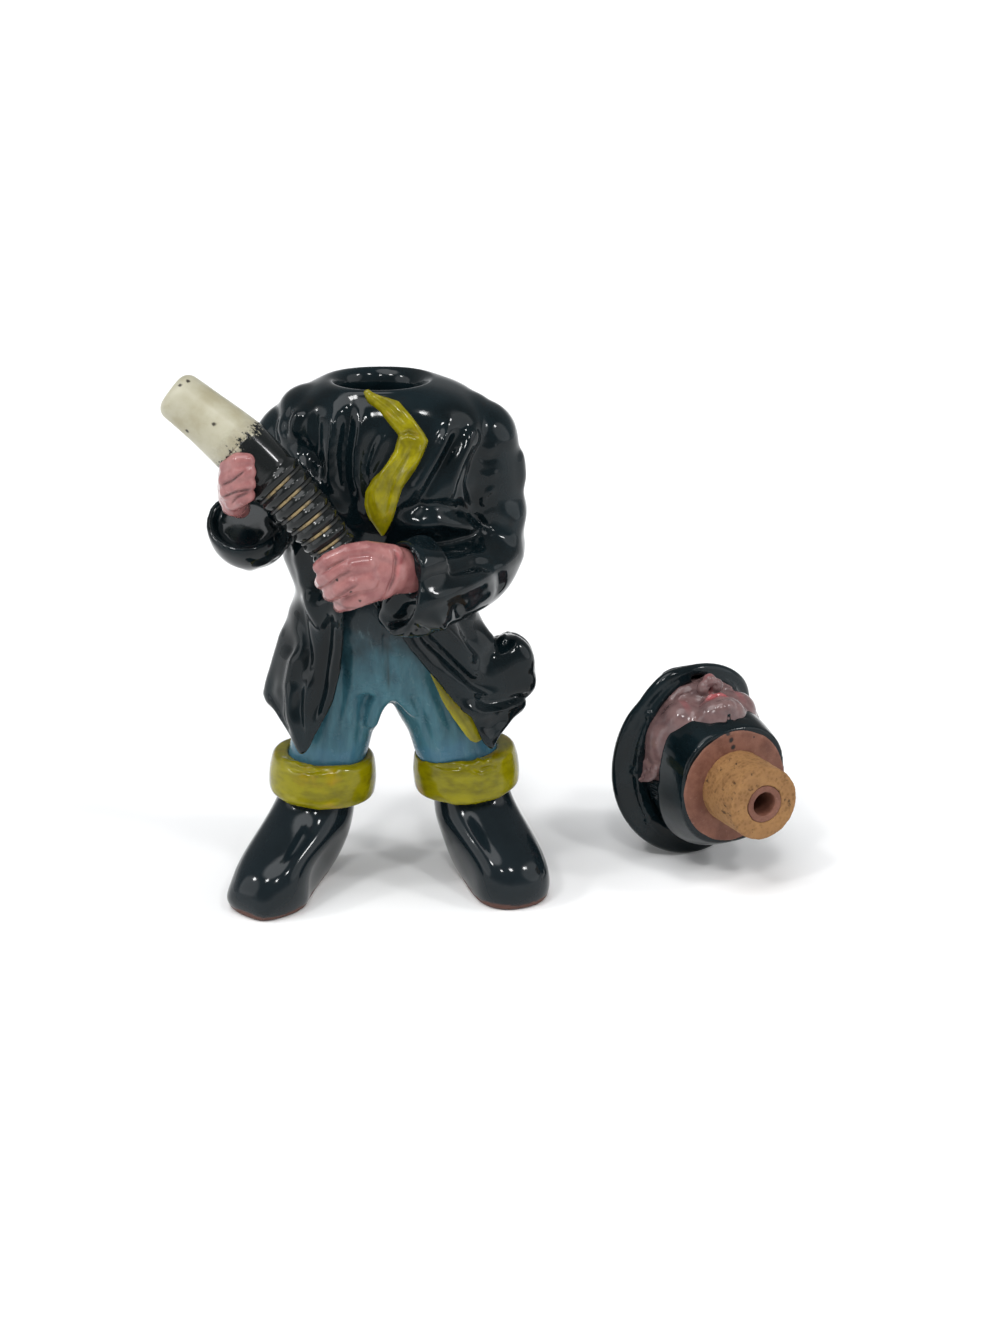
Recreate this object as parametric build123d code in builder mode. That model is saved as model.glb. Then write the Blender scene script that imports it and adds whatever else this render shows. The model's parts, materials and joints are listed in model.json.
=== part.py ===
from build123d import *
from math import copysign, cos, pi, radians, sin
import os

# A figural liquor decanter in glazed earthenware. The bottle is a headless firefighter in a long
# open coat, who holds a hose nozzle. The head is the stopper: a cork sleeve on its clay spigot
# plugs the neck. The stopper has been pulled and lies on its back beside the figure.
# Millimetres, +Z up. The figure faces -Y, its own right side is towards -X, and it stands on Z = 0.

# Body casting and neck
wall = 4.5
rim_height = 187.0
waist_height = 104.0
coat_half_width = 38.0
coat_half_depth = 30.0
neck_bore_radius = 14.0
neck_rim_radius = 19.0
neck_bore_length = 12.0
neck_lip_radius = 1.5
cavity_shoulder = 3.0
overrun = 30.0

# Skirt of the coat, its lining and the lapel
skirt_wall = 4.0
skirt_side_flare = 9.0
skirt_back_flare = 7.0
skirt_hollow_height = 86.0
curl_radius = 10.0
lining_thickness = 2.2
lapel_relief = 1.6

# Trousers
hip_gap = 27.0
hip_bottom_height = 76.0
leg_top_height = 94.0
leg_top_depth = 2.0
leg_radius = 14.2

# Boots and their turned-down cuffs; each boot's sole stands further out than its leg
boot_top_height = 40.0
ankle_radius = 13.6
foot_half_width = 15.0
right_foot_length = 45.0
left_foot_length = 40.5
right_ankle = (-23.0, -3.0)
left_ankle = (30.0, 2.5)
right_heel = (-29.5, 0.0)
left_heel = (34.5, 3.0)
right_toe_angle = -23.0
left_toe_angle = 26.0
cuff_bottom_height = 34.0
cuff_height = 15.5
cuff_wall = 5.2
cuff_edge_radius = 2.0
cuff_tilt = 4.0

# Sleeves, hands and hose
sleeve_radius = 15.0
cuff_mouth_wall = 3.0
cuff_mouth_depth = 4.0
hose_joint_radius = 10.2
hose_grip_radius = 7.6
nozzle_tip_radius = 9.2
nozzle_length = 28.5
nozzle_edge_radius = 3.5
grip_length = 32.0
grip_rib_radius = 1.6
grip_rib_rise = 0.6
grip_cord_radius = 0.8
grip_pitch = 4.2
grip_cord_count = 6
grip_start = 13.5
finger_radius = 3.1
finger_pitch = 4.5
finger_count = 4
finger_arc = 130.0
left_finger_turn = -40.0
right_finger_turn = -72.0
palm_radius = 11.0

# Stopper, in its own upright frame: its base face is at zero, its crown up and its face at -Y
cork_radius = 13.6
cork_length = 21.0
cork_edge_radius = 1.0
spigot_radius = 6.9
spigot_bore_radius = 4.4
neck_base_radius = 18.5
neck_base_height = 7.0
head_half_width = 22.5
head_half_depth = 27.0
head_half_height = 22.0
head_forward = 5.5
head_lift = 5.0
nose_radius = 3.6
chin_radius = 9.0
ear_half_height = 6.0
hair_relief = 1.3
hair_front = 1.0
brim_half_width = 33.0
brim_front_reach = 38.0
brim_back_reach = 36.0
brim_thickness = 4.2
brim_edge_radius = 1.6
brim_height = 26.0
brim_roll = 4.0
crown_half_width = 26.5
crown_half_depth = 33.5
crown_height = 28.0
crown_rib_count = 8
crown_rib_width = 2.4
crown_rib_relief = 1.2
shield_width = 15.0
shield_height = 17.0
shield_relief = 3.0
collar_height = 17.0
collar_wall = 3.6
collar_foot_radius = 21.8
collar_side_reach = 23.0
collar_front_reach = 27.0
collar_back_reach = 28.0
clasp_radius = 2.6

# Where the stopper lies, and how its neck turns from straight towards the viewer
stopper_place = (127.3, -5.0)
stopper_yaw = 26.0
stopper_tilt = 1.5

oval_point_count = 12
coat_fullness = 2.4
boot_fullness = 2.3

# Up from the waist to the rim; right, left, front and back reaches of the half width and depth.
coat_section_shares = (
    (0.00, 0.87, 0.88, 0.86, 0.78),
    (0.20, 0.88, 0.90, 0.94, 0.88),
    (0.44, 0.92, 0.95, 1.02, 0.97),
    (0.66, 0.96, 1.00, 1.00, 1.00),
    (0.80, 0.95, 1.03, 0.90, 0.95),
    (0.90, 0.84, 0.93, 0.80, 0.86),
    (0.965, 0.66, 0.73, 0.68, 0.72),
)
cavity_sections = (1, 2, 3)
# Up to the waist; the four reaches; how much of the side and back flares.
skirt_section_shares = (
    (0.50, 0.86, 0.90, 0.92, 0.82, 1.00, 1.00),
    (0.66, 0.88, 0.90, 0.92, 0.80, 1.00, 0.80),
    (0.84, 0.88, 0.88, 0.88, 0.78, 0.45, 0.35),
    (1.00, 0.87, 0.88, 0.86, 0.78, 0.00, 0.00),
)
skirt_blow_share = 1.75
# Front views, in shares of the coat's half width and of the waist height.
opening_outline_shares = (
    (-0.66, 0.42),
    (-0.66, 0.58),
    (-0.52, 0.68),
    (-0.30, 0.80),
    (-0.18, 0.92),
    (-0.14, 1.08),
    (-0.02, 1.08),
    (0.22, 0.96),
    (0.52, 0.81),
    (0.84, 0.66),
    (0.96, 0.56),
    (1.02, 0.42),
)
hem_outline_shares = (
    (-1.90, 0.84),
    (-1.14, 0.71),
    (-0.95, 0.63),
    (-0.76, 0.555),
    (-0.60, 0.60),
    (0.10, 0.635),
    (0.80, 0.60),
    (1.02, 0.56),
    (1.24, 0.63),
    (1.90, 0.74),
)
lining_outline_shares = (
    (0.30, 0.94),
    (0.44, 0.84),
    (0.58, 0.72),
    (0.76, 0.61),
    (0.89, 0.565),
    (0.99, 0.60),
    (0.88, 0.69),
    (0.62, 0.81),
)
curl_place_shares = (1.17, 0.22, 0.77)
curl_stretch_shares = (1.00, 1.30, 1.15)
# Front view, in shares of the coat's half width and of the rim height.
lapel_outline_shares = (
    (-0.10, 0.985),
    (0.03, 0.970),
    (0.20, 0.952),
    (0.36, 0.930),
    (0.47, 0.905),
    (0.44, 0.885),
    (0.30, 0.850),
    (0.22, 0.815),
    (0.16, 0.775),
    (0.07, 0.755),
    (-0.02, 0.785),
    (-0.07, 0.815),
    (-0.05, 0.845),
    (0.06, 0.880),
    (0.13, 0.905),
    (0.08, 0.925),
    (-0.05, 0.955),
)
# Up to the waist from the hips' underside, then right, left, front and back of the hips' reaches.
hip_section_shares = (
    (1.00, 1.00, 1.00, 1.00, 1.00),
    (0.50, 0.88, 0.98, 0.92, 0.92),
    (0.00, 0.76, 0.94, 0.76, 0.80),
)
# Down from the leg's top to the boot, out from hip to ankle, and the leg's radius.
leg_station_shares = ((0.00, 0.00, 1.02), (0.36, 0.16, 1.00), (0.74, 0.62, 0.99), (1.00, 1.00, 0.96))
# Up the boot; the section's middle, front and back along the foot; and its half width.
boot_section_shares = (
    (0.00, 0.58, 0.94, -0.26, 0.87),
    (0.18, 0.58, 1.00, -0.30, 1.00),
    (0.36, 0.52, 0.95, -0.30, 0.99),
    (0.54, 0.34, 0.75, -0.30, 0.95),
    (0.76, 0.10, 0.43, -0.30, 0.91),
)
# Along the foot from its heel's place, up the boot, and the hollow's radius.
boot_hollow_shares = (
    (0.00, 1.10, 1.00),
    (0.00, 0.75, 1.00),
    (0.08, 0.48, 1.00),
    (0.34, 0.34, 0.93),
    (0.60, 0.31, 0.80),
)
cuff_section_shares = ((0.00, 0.97), (0.45, 1.00), (1.00, 0.93))
# Points in shares of the coat's half width, its half depth and the rim height, then the radius.
left_sleeve_shares = (
    (0.63, 0.10, 0.905, 0.87),
    (0.90, 0.03, 0.845, 1.00),
    (0.98, -0.03, 0.757, 0.92),
    (0.97, -0.27, 0.674, 0.86),
    (0.74, -0.88, 0.652, 0.84),
    (0.46, -1.33, 0.654, 0.93),
    (0.19, -1.55, 0.668, 0.98),
)
right_sleeve_shares = (
    (-0.63, 0.10, 0.905, 0.87),
    (-0.88, 0.03, 0.845, 0.93),
    (-1.05, -0.20, 0.775, 0.86),
    (-1.13, -0.60, 0.742, 0.88),
    (-1.15, -0.98, 0.753, 0.90),
    (-1.16, -1.14, 0.785, 0.92),
)
hose_tip_shares = (-1.69, -1.40, 1.018)
hose_low_shares = (-0.16, -1.71, 0.725)
left_palm_shares = (
    (0.30, -1.46, 0.660, 0.80),
    (0.14, -1.66, 0.684, 0.95),
    (-0.02, -1.80, 0.704, 1.02),
    (-0.15, -1.87, 0.717, 0.88),
    (-0.24, -1.90, 0.726, 0.50),
)
right_palm_shares = (
    (-1.17, -1.10, 0.780, 0.50),
    (-1.22, -1.30, 0.815, 0.58),
    (-1.27, -1.40, 0.850, 0.60),
    (-1.32, -1.43, 0.885, 0.42),
)
# Along a finger, its radius.
finger_station_shares = (0.90, 1.05, 1.00, 1.05, 0.98, 0.95, 0.50)
# Up the collar, and how much of the way from its foot to its full reach.
collar_section_shares = ((0.00, 0.00), (0.40, 0.55), (1.00, 1.00))
# Front view of the collar's upper edge, in shares of its side reach and height.
collar_edge_shares = (
    (-1.40, 1.00),
    (-0.95, 0.92),
    (-0.62, 1.00),
    (-0.40, 0.96),
    (-0.22, 0.70),
    (0.00, 0.62),
    (0.22, 0.70),
    (0.40, 0.96),
    (0.62, 1.00),
    (0.95, 0.92),
    (1.40, 1.00),
)
# Right half of the shield, in shares of its half width and height.
shield_outline_shares = ((0.00, 0.00), (0.72, 0.30), (1.00, 0.78), (0.78, 1.00), (0.00, 0.90))
# Places on the head, in shares of its half sizes from its centre.
ear_place_shares = (0.98, 0.15, -0.05)
ear_stretch_shares = (0.45, 0.70, 1.00)
nose_place_shares = ((0.00, -0.94, 0.18), (0.00, -1.02, 0.04), (0.00, -1.07, -0.12))
nose_station_shares = (0.55, 0.80, 1.00)
chin_place_shares = (0.00, -0.62, -0.62)
brim_strip_share = 1.2
egg_level_shares = (-0.97, -0.82, -0.45, 0.00, 0.45, 0.82, 0.97)


def spot(x_share, y_share, z_share):
    """A point near the figure, in shares of the coat's half width and depth and of the rim height."""
    return Vector(x_share * coat_half_width, y_share * coat_half_depth, z_share * rim_height)


def oval_points(reaches, fullness):
    """Points round an oval of given right, left, front and back reach; a fullness of 2 is an ellipse."""
    right, left, front, back = reaches
    points = []
    for number in range(oval_point_count):
        turn = 2 * pi * number / oval_point_count
        across = copysign(abs(cos(turn)) ** (2 / fullness), cos(turn))
        along = copysign(abs(sin(turn)) ** (2 / fullness), sin(turn))
        points.append((across * (left if across > 0 else right), along * (back if along > 0 else front)))
    return points


def oval_loft(sections, fullness=coat_fullness):
    """Lofts ovals, each given as its plane and its four reaches."""
    with BuildPart() as form:
        for plane, reaches in sections:
            with BuildSketch(plane):
                with BuildLine():
                    Spline(*oval_points(reaches, fullness), periodic=True)
                make_face()
        loft()
    return form.part


def limb(centres, radii):
    """Lofts round sections along a chain of centres, each square to the chain."""
    side = Vector(0, 1, 0)
    with BuildPart() as form:
        for number, (centre, radius) in enumerate(zip(centres, radii)):
            before = centres[max(number - 1, 0)]
            after = centres[min(number + 1, len(centres) - 1)]
            heading = (after - before).normalized()
            side = (side - heading * side.dot(heading)).normalized()
            with BuildSketch(Plane(origin=centre, x_dir=side, z_dir=heading)):
                Circle(radius)
        loft()
    return form.part


def egg(centre, half_sizes):
    """A closed rounded body of three half sizes, lofted through level ovals."""
    half_width, half_depth, half_height = half_sizes
    sections = []
    for up in egg_level_shares:
        out = (1 - up**2) ** 0.5
        plane = Plane.XY.offset(up * half_height)
        sections.append((plane, (out * half_width, out * half_width, out * half_depth, out * half_depth)))
    return Pos(*centre) * oval_loft(sections, 2)


def front_prism(points, y_from, y_to, smooth=False):
    """Extrudes a front-view outline, straight-sided or as one smooth curve, between two depths."""
    with BuildPart() as prism:
        with BuildSketch(Plane.XZ.offset(-y_from)):
            with BuildLine():
                if smooth:
                    Spline(*points, periodic=True)
                else:
                    Polyline(*points, close=True)
            make_face()
        extrude(amount=y_from - y_to)
    return prism.part


def without(form, *others):
    """What is left of a form where its neighbours stand: its largest solid, with no crumbs."""
    with BuildPart() as rest:
        add(form)
        for other in others:
            add(other, mode=Mode.SUBTRACT)
    return rest.part.solids().sort_by(SortBy.VOLUME)[-1]


def reduced(reaches, inset):
    return tuple(reach - inset for reach in reaches)


# Coat: a lofted shell with the neck's bore through its top
def coat_sections(inset):
    """The coat's outside sections above the waist, moved in by a distance."""
    sections = []
    for up, right, left, front, back in coat_section_shares:
        plane = Plane.XY.offset(waist_height + up * (rim_height - waist_height))
        sides = (right * coat_half_width, left * coat_half_width)
        reaches = (*sides, front * coat_half_depth, back * coat_half_depth)
        sections.append((plane, reduced(reaches, inset)))
    return sections


def round_section(height, radius):
    return (Plane.XY.offset(height), (radius, radius, radius, radius))


waist_reaches = coat_sections(0)[0][1]
coat_form = oval_loft([*coat_sections(0), round_section(rim_height, neck_rim_radius)])
cavity_form = oval_loft(
    [
        (Plane.XY.offset(waist_height), reduced(waist_reaches, skirt_wall + wall)),
        *[coat_sections(wall)[number] for number in cavity_sections],
        round_section(rim_height - neck_bore_length, neck_bore_radius + cavity_shoulder),
    ]
)

with BuildPart() as coat_body:
    add(coat_form)
    add(cavity_form, mode=Mode.SUBTRACT)
    with BuildSketch(Plane.XY.offset(rim_height)):
        Circle(neck_bore_radius)
    extrude(amount=-(neck_bore_length + cavity_shoulder), mode=Mode.SUBTRACT)
    fillet(coat_body.edges().filter_by(GeomType.CIRCLE).sort_by(Axis.Z)[-1], neck_lip_radius)


# Trousers: hollow hips and two hollow legs, in one shell
def hip_form(inset):
    rise = waist_height - hip_bottom_height - inset
    sections = []
    for up, *shares in hip_section_shares:
        reaches = [(reach - skirt_wall) * share for reach, share in zip(waist_reaches, shares)]
        sections.append((Plane.XY.offset(hip_bottom_height + inset + up * rise), reduced(reaches, inset)))
    return oval_loft(sections)


def leg_form(ankle, side, inset):
    """One leg from inside the hips down to the boot."""
    hip = Vector(side * hip_gap / 2, -leg_top_depth, leg_top_height)
    drop = Vector(*ankle, boot_top_height) - hip
    centres = []
    radii = []
    for down, out, radius_share in leg_station_shares:
        centres.append(hip + Vector(out * drop.X, out * drop.Y, down * drop.Z))
        radii.append(radius_share * leg_radius - inset)
    return limb(centres, radii)


with BuildPart() as trousers_solid:
    add(hip_form(0))
    add(leg_form(right_ankle, -1, 0))
    add(leg_form(left_ankle, 1, 0))
    split(bisect_by=Plane.XY.offset(boot_top_height), keep=Keep.TOP)

trousers_form = trousers_solid.part

with BuildPart() as trousers:
    add(trousers_form)
    add(hip_form(wall), mode=Mode.SUBTRACT)
    add(leg_form(right_ankle, -1, wall), mode=Mode.SUBTRACT)
    add(leg_form(left_ankle, 1, wall), mode=Mode.SUBTRACT)


# Boots: hollow, closed at the sole, and as round as the ankle at the top
def boot_plane(ankle, heel, toe_angle, up):
    """The plane across a boot at a share of its height; its -Y points to the toe."""
    turn = radians(toe_angle)
    x = heel[0] + up * (ankle[0] - heel[0])
    y = heel[1] + up * (ankle[1] - heel[1])
    return Plane(origin=(x, y, up * boot_top_height), x_dir=(cos(turn), sin(turn), 0), z_dir=(0, 0, 1))


def boot_form(ankle, heel, toe_angle, foot_length):
    sections = []
    for up, middle, front, back, side in boot_section_shares:
        plane = boot_plane(ankle, heel, toe_angle, up)
        plane.origin -= plane.y_dir * middle * foot_length
        half_width = side * foot_half_width
        reaches = (half_width, half_width, (front - middle) * foot_length, (middle - back) * foot_length)
        sections.append((plane, reaches))
    sections.append((boot_plane(ankle, heel, toe_angle, 1), (ankle_radius,) * 4))
    return oval_loft(sections, boot_fullness)


def boot_hollow(ankle, heel, toe_angle, foot_length):
    """A bent hollow from above the boot's top down into its toe."""
    centres = []
    for along, up, _ in boot_hollow_shares:
        plane = boot_plane(ankle, heel, toe_angle, up)
        centres.append(plane.origin - plane.y_dir * along * foot_length)
    return limb(centres, [share * (ankle_radius - wall) for _, _, share in boot_hollow_shares])


right_foot = (right_ankle, right_heel, right_toe_angle, right_foot_length)
left_foot = (left_ankle, left_heel, left_toe_angle, left_foot_length)
right_boot_form = boot_form(*right_foot)
left_boot_form = boot_form(*left_foot)

with BuildPart() as right_boot:
    add(right_boot_form)
    add(boot_hollow(*right_foot), mode=Mode.SUBTRACT)

with BuildPart() as left_boot:
    add(left_boot_form)
    add(boot_hollow(*left_foot), mode=Mode.SUBTRACT)


# Boot cuffs: bands turned down over the joint of leg and boot
def cuff_form(ankle, tilt):
    place = Plane(origin=(*ankle, cuff_bottom_height)).rotated((0, tilt, 0))
    with BuildPart() as band:
        for up, reach_share in cuff_section_shares:
            with BuildSketch(place.offset(up * cuff_height)):
                Circle(reach_share * (leg_radius + cuff_wall))
        loft()
        fillet(band.edges(), cuff_edge_radius)
    return band.part


right_cuff_form = cuff_form(right_ankle, cuff_tilt)
left_cuff_form = cuff_form(left_ankle, -cuff_tilt)

with BuildPart() as right_boot_cuff:
    add(without(right_cuff_form, trousers_form, right_boot_form))

with BuildPart() as left_boot_cuff:
    add(without(left_cuff_form, trousers_form, left_boot_form))


# Skirt of the coat: a flared shell, open in front, with hanging points and a blown-out curl
def skirt_sections(inset):
    sections = []
    for up, right, left, front, back, side_flare, back_flare in skirt_section_shares:
        reaches = (
            right * coat_half_width + side_flare * skirt_side_flare,
            left * coat_half_width + side_flare * skirt_side_flare * skirt_blow_share,
            front * coat_half_depth,
            back * coat_half_depth + back_flare * skirt_back_flare,
        )
        sections.append((Plane.XY.offset(up * waist_height), reduced(reaches, inset)))
    return sections


def front_points(shares, height=waist_height):
    return [(x_share * coat_half_width, up * height) for x_share, up in shares]


hem_points = front_points(hem_outline_shares)
hem_points += [(hem_points[-1][0], -overrun), (hem_points[0][0], -overrun)]
hem_cutter = front_prism(hem_points, -coat_half_depth - overrun, coat_half_depth + overrun)
opening_cutter = front_prism(
    front_points(opening_outline_shares), -coat_half_depth - overrun, -leg_top_depth - leg_radius / 2
)
hollow_sections = skirt_sections(skirt_wall)[:3]
hollow_sections[-1] = (Plane.XY.offset(skirt_hollow_height), hollow_sections[-1][1])
hollow_form = oval_loft(hollow_sections)
curl_place = Vector(
    curl_place_shares[0] * coat_half_width,
    curl_place_shares[1] * coat_half_depth,
    curl_place_shares[2] * waist_height,
)

with BuildPart() as skirt_shell:
    add(oval_loft(skirt_sections(0)))
    add(hollow_form, mode=Mode.SUBTRACT)
    add(egg(curl_place, [share * curl_radius for share in curl_stretch_shares]))

with BuildPart() as coat_skirt:
    add(
        without(
            skirt_shell.part, hem_cutter, opening_cutter, trousers_form,
            right_cuff_form, left_cuff_form, right_boot_form, left_boot_form,
        )
    )

with BuildPart() as lining_shell:
    add(hollow_form)
    add(
        oval_loft([(plane, reduced(reaches, lining_thickness)) for plane, reaches in hollow_sections]),
        mode=Mode.SUBTRACT,
    )

with BuildPart() as skirt_lining:
    lining_points = front_points(lining_outline_shares)
    lining_cutter = front_prism(lining_points, -coat_half_depth - overrun, 0, smooth=True)
    add(without(lining_shell.part & lining_cutter, coat_skirt.part, trousers_form, left_cuff_form))


# Sleeves: each lofted from the shoulder round the elbow to a cuff with a shallow mouth
def sleeve(shares):
    """The sleeve's outer form, and its mouth's form."""
    centres = [spot(*share[:3]) for share in shares]
    radii = [share[3] * sleeve_radius for share in shares]
    outward = (centres[-1] - centres[-2]).normalized()
    floor = centres[-1] - outward * cuff_mouth_depth
    mouth_radius = radii[-1] - cuff_mouth_wall
    return limb(centres, radii), limb([floor, centres[-1] + outward * overrun], [mouth_radius, mouth_radius])


left_sleeve_form, left_mouth_form = sleeve(left_sleeve_shares)
right_sleeve_form, right_mouth_form = sleeve(right_sleeve_shares)

with BuildPart() as left_sleeve:
    add(without(left_sleeve_form, left_mouth_form, coat_form, coat_skirt.part, trousers_form))

with BuildPart() as right_sleeve:
    add(without(right_sleeve_form, right_mouth_form, coat_form, coat_skirt.part))

# Hose: a barrel that narrows to a ribbed grip, gilt cords between the ribs, and the pale nozzle
hose_tip = spot(*hose_tip_shares)
hose_low = spot(*hose_low_shares)
hose_axis = (hose_tip - hose_low).normalized()
hose_length = (hose_tip - hose_low).length
barrel_length = hose_length - nozzle_length
hose_side = Vector(0, -1, 0).cross(hose_axis).normalized()
hose_profile_plane = Plane(origin=hose_low, x_dir=hose_side, z_dir=hose_side.cross(hose_axis))


def hose_plane(height):
    """The plane across the hose at a height above its low end; its X points down and outwards."""
    return Plane(origin=hose_low + hose_axis * height, x_dir=hose_side, z_dir=hose_axis)


def hose_turning(points):
    """Revolves a profile of radius and height about the hose's axis."""
    with BuildPart() as turned:
        with BuildSketch(hose_profile_plane):
            Polygon(*points, align=None)
        revolve(axis=Axis(hose_low, hose_axis))
    return turned.part


with BuildPart() as barrel_solid:
    add(
        hose_turning(
            [
                (0, 0),
                (hose_grip_radius, 0),
                (hose_grip_radius, grip_length),
                (hose_joint_radius, barrel_length),
                (0, barrel_length),
            ]
        )
    )
    for number in range(grip_cord_count - 1):
        with Locations(hose_plane(grip_start + (number + 1 / 2) * grip_pitch).location):
            Torus(hose_grip_radius + grip_rib_rise - grip_rib_radius, grip_rib_radius)

barrel_form = barrel_solid.part

with BuildPart() as nozzle_tip:
    add(
        hose_turning(
            [
                (0, barrel_length),
                (hose_joint_radius, barrel_length),
                (nozzle_tip_radius, hose_length),
                (0, hose_length),
            ]
        )
    )
    end_edge = nozzle_tip.edges().filter_by(GeomType.CIRCLE).sort_by(Axis(hose_low, hose_axis))[-1]
    fillet(end_edge, nozzle_edge_radius)


# Hands: a palm and four fingers bent round the hose
def finger(height, ring_radius, start_turn):
    """One finger on a ring round the hose; its turn is counted from the hose's lower side."""
    plane = hose_plane(height)
    last = len(finger_station_shares) - 1
    centres = []
    for number in range(last + 1):
        turn = radians(start_turn + finger_arc * number / last)
        centres.append(plane.origin + (plane.x_dir * cos(turn) + plane.y_dir * sin(turn)) * ring_radius)
    return limb(centres, [share * finger_radius for share in finger_station_shares])


def hand(palm_shares, first_height, barrel_radius, start_turn):
    """A palm with its wrist, and the fingers side by side along the hose."""
    centres = [spot(*share[:3]) for share in palm_shares]
    with BuildPart() as whole:
        add(limb(centres, [share[3] * palm_radius for share in palm_shares]))
        for number in range(finger_count):
            height = first_height + number * finger_pitch
            add(finger(height, barrel_radius + finger_radius / 2, start_turn))
    return whole.part


left_hand_form = hand(left_palm_shares, -finger_pitch, hose_grip_radius, left_finger_turn)
right_hand_form = hand(
    right_palm_shares, barrel_length - (finger_count - 1) * finger_pitch, hose_joint_radius, right_finger_turn
)

with BuildPart() as left_hand:
    add(without(left_hand_form, barrel_form, left_sleeve.part, coat_form))

with BuildPart() as right_hand:
    add(without(right_hand_form, barrel_form, nozzle_tip.part, right_sleeve.part, coat_form))

with BuildPart() as hose_barrel:
    add(without(barrel_form, left_sleeve.part))


def cord(height):
    """One gilt cord, bedded between two ribs of the grip."""
    with BuildPart(hose_plane(height)) as ring:
        Torus(hose_grip_radius + grip_cord_radius / 2, grip_cord_radius)
    return without(ring.part, barrel_form, left_hand_form, right_hand_form)


with BuildPart() as grip_cords:
    for number in range(grip_cord_count):
        add(cord(grip_start + number * grip_pitch))

# Lapel: the coat's pale lining, turned out on the chest
with BuildPart() as lapel_lining:
    lapel_points = front_points(lapel_outline_shares, rim_height)
    lapel_stock = front_prism(lapel_points, -coat_half_depth - overrun, 0, smooth=True)
    relief = oval_loft([*coat_sections(-lapel_relief), round_section(rim_height, neck_rim_radius)])
    add(without(lapel_stock & relief, coat_form, barrel_form, left_hand_form))

# Stopper: an unglazed base disc with a hollow spigot through the cork
with BuildPart() as base_disc:
    with BuildSketch():
        Circle(neck_base_radius)
    extrude(amount=neck_base_height)

with BuildPart() as neck_base:
    add(base_disc.part)
    with BuildSketch():
        Circle(spigot_radius)
    extrude(amount=-cork_length)
    with BuildSketch(Plane.XY.offset(-cork_length)):
        Circle(spigot_bore_radius)
    extrude(amount=cork_length + neck_base_height, mode=Mode.SUBTRACT)

with BuildPart() as cork_sleeve:
    with BuildSketch():
        Circle(cork_radius)
        Circle(spigot_radius, mode=Mode.SUBTRACT)
    extrude(amount=-cork_length)
    low_edges = cork_sleeve.edges().filter_by(GeomType.CIRCLE).group_by(Axis.Z)[0]
    fillet(low_edges.sort_by(SortBy.RADIUS)[-1], cork_edge_radius)

# Head: a hollow egg with nose and chin; the ears and the hair are raised on it
head_half_sizes = (head_half_width, head_half_depth, head_half_height)
head_centre = Vector(0, -head_forward, head_lift + head_half_height)


def head_egg(grow):
    return egg(head_centre, [size + grow for size in head_half_sizes])


def on_head(place_shares, side=1):
    """A point on or in the head, in shares of its half sizes from its centre."""
    x, y, z = (share * size for share, size in zip(place_shares, head_half_sizes))
    return head_centre + Vector(side * x, y, z)


with BuildPart() as head_solid:
    add(head_egg(0))
    nose_points = [on_head(place) for place in nose_place_shares]
    add(limb(nose_points, [share * nose_radius for share in nose_station_shares]))
    with Locations(nose_points[-1]):
        Sphere(nose_radius)
    with Locations(on_head(chin_place_shares)):
        Sphere(chin_radius)

head_form = head_solid.part

# Collar of the coat: it stands round the head's foot and dips in front, at its clasp
def collar_reaches(out):
    full = (collar_side_reach, collar_side_reach, collar_front_reach, collar_back_reach)
    return tuple(collar_foot_radius + out * (reach - collar_foot_radius) for reach in full)


collar_rows = []
for up, out in collar_section_shares:
    collar_rows.append((Plane.XY.offset(up * collar_height), collar_reaches(out)))
collar_inner_rows = [(plane, reduced(reaches, collar_wall)) for plane, reaches in collar_rows]
edge_points = [(x_share * collar_side_reach, up * collar_height) for x_share, up in collar_edge_shares]
edge_points += [(edge_points[-1][0], collar_height + overrun), (edge_points[0][0], collar_height + overrun)]
clasp_row, clasp_reaches = collar_rows[1]

with BuildPart() as collar_solid:
    add(oval_loft(collar_rows))
    add(oval_loft(collar_inner_rows), mode=Mode.SUBTRACT)
    add(front_prism(edge_points, -collar_front_reach - overrun, 0), mode=Mode.SUBTRACT)
    with Locations((0, -clasp_reaches[2], clasp_row.origin.Z)):
        Sphere(clasp_radius)

with BuildPart() as collar:
    add(without(collar_solid.part, head_form, base_disc.part))

# Helmet: a brim rolled up at the sides, and a ribbed crown
brim_reach = brim_strip_share * brim_half_width
brim_rise = brim_strip_share**2 * brim_roll
crown_centre = Vector(0, (brim_back_reach - brim_front_reach) / 2, brim_height)
crown_half_sizes = (crown_half_width, crown_half_depth, crown_height)


def crown(grow):
    """The crown's dome above the brim's level, with its half sizes grown by a distance."""
    with BuildPart() as dome:
        add(egg(crown_centre, [size + grow for size in crown_half_sizes]))
        split(bisect_by=Plane.XY.offset(brim_height), keep=Keep.TOP)
    return dome.part


with BuildPart() as brim:
    with BuildSketch(Plane.XZ):
        with BuildLine():
            low_side = brim_height + brim_rise
            high_side = low_side + brim_thickness
            ThreePointArc((-brim_reach, low_side), (0, brim_height), (brim_reach, low_side))
            high_middle = brim_height + brim_thickness
            ThreePointArc((-brim_reach, high_side), (0, high_middle), (brim_reach, high_side))
            Line((-brim_reach, low_side), (-brim_reach, high_side))
            Line((brim_reach, low_side), (brim_reach, high_side))
        make_face()
    extrude(amount=brim_front_reach + overrun, both=True)
    with BuildSketch():
        with BuildLine():
            Spline(
                *oval_points((brim_half_width, brim_half_width, brim_front_reach, brim_back_reach), 2),
                periodic=True,
            )
        make_face()
    extrude(amount=brim_height + brim_rise + overrun, mode=Mode.INTERSECT)
    fillet(brim.edges(), brim_edge_radius)

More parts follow.
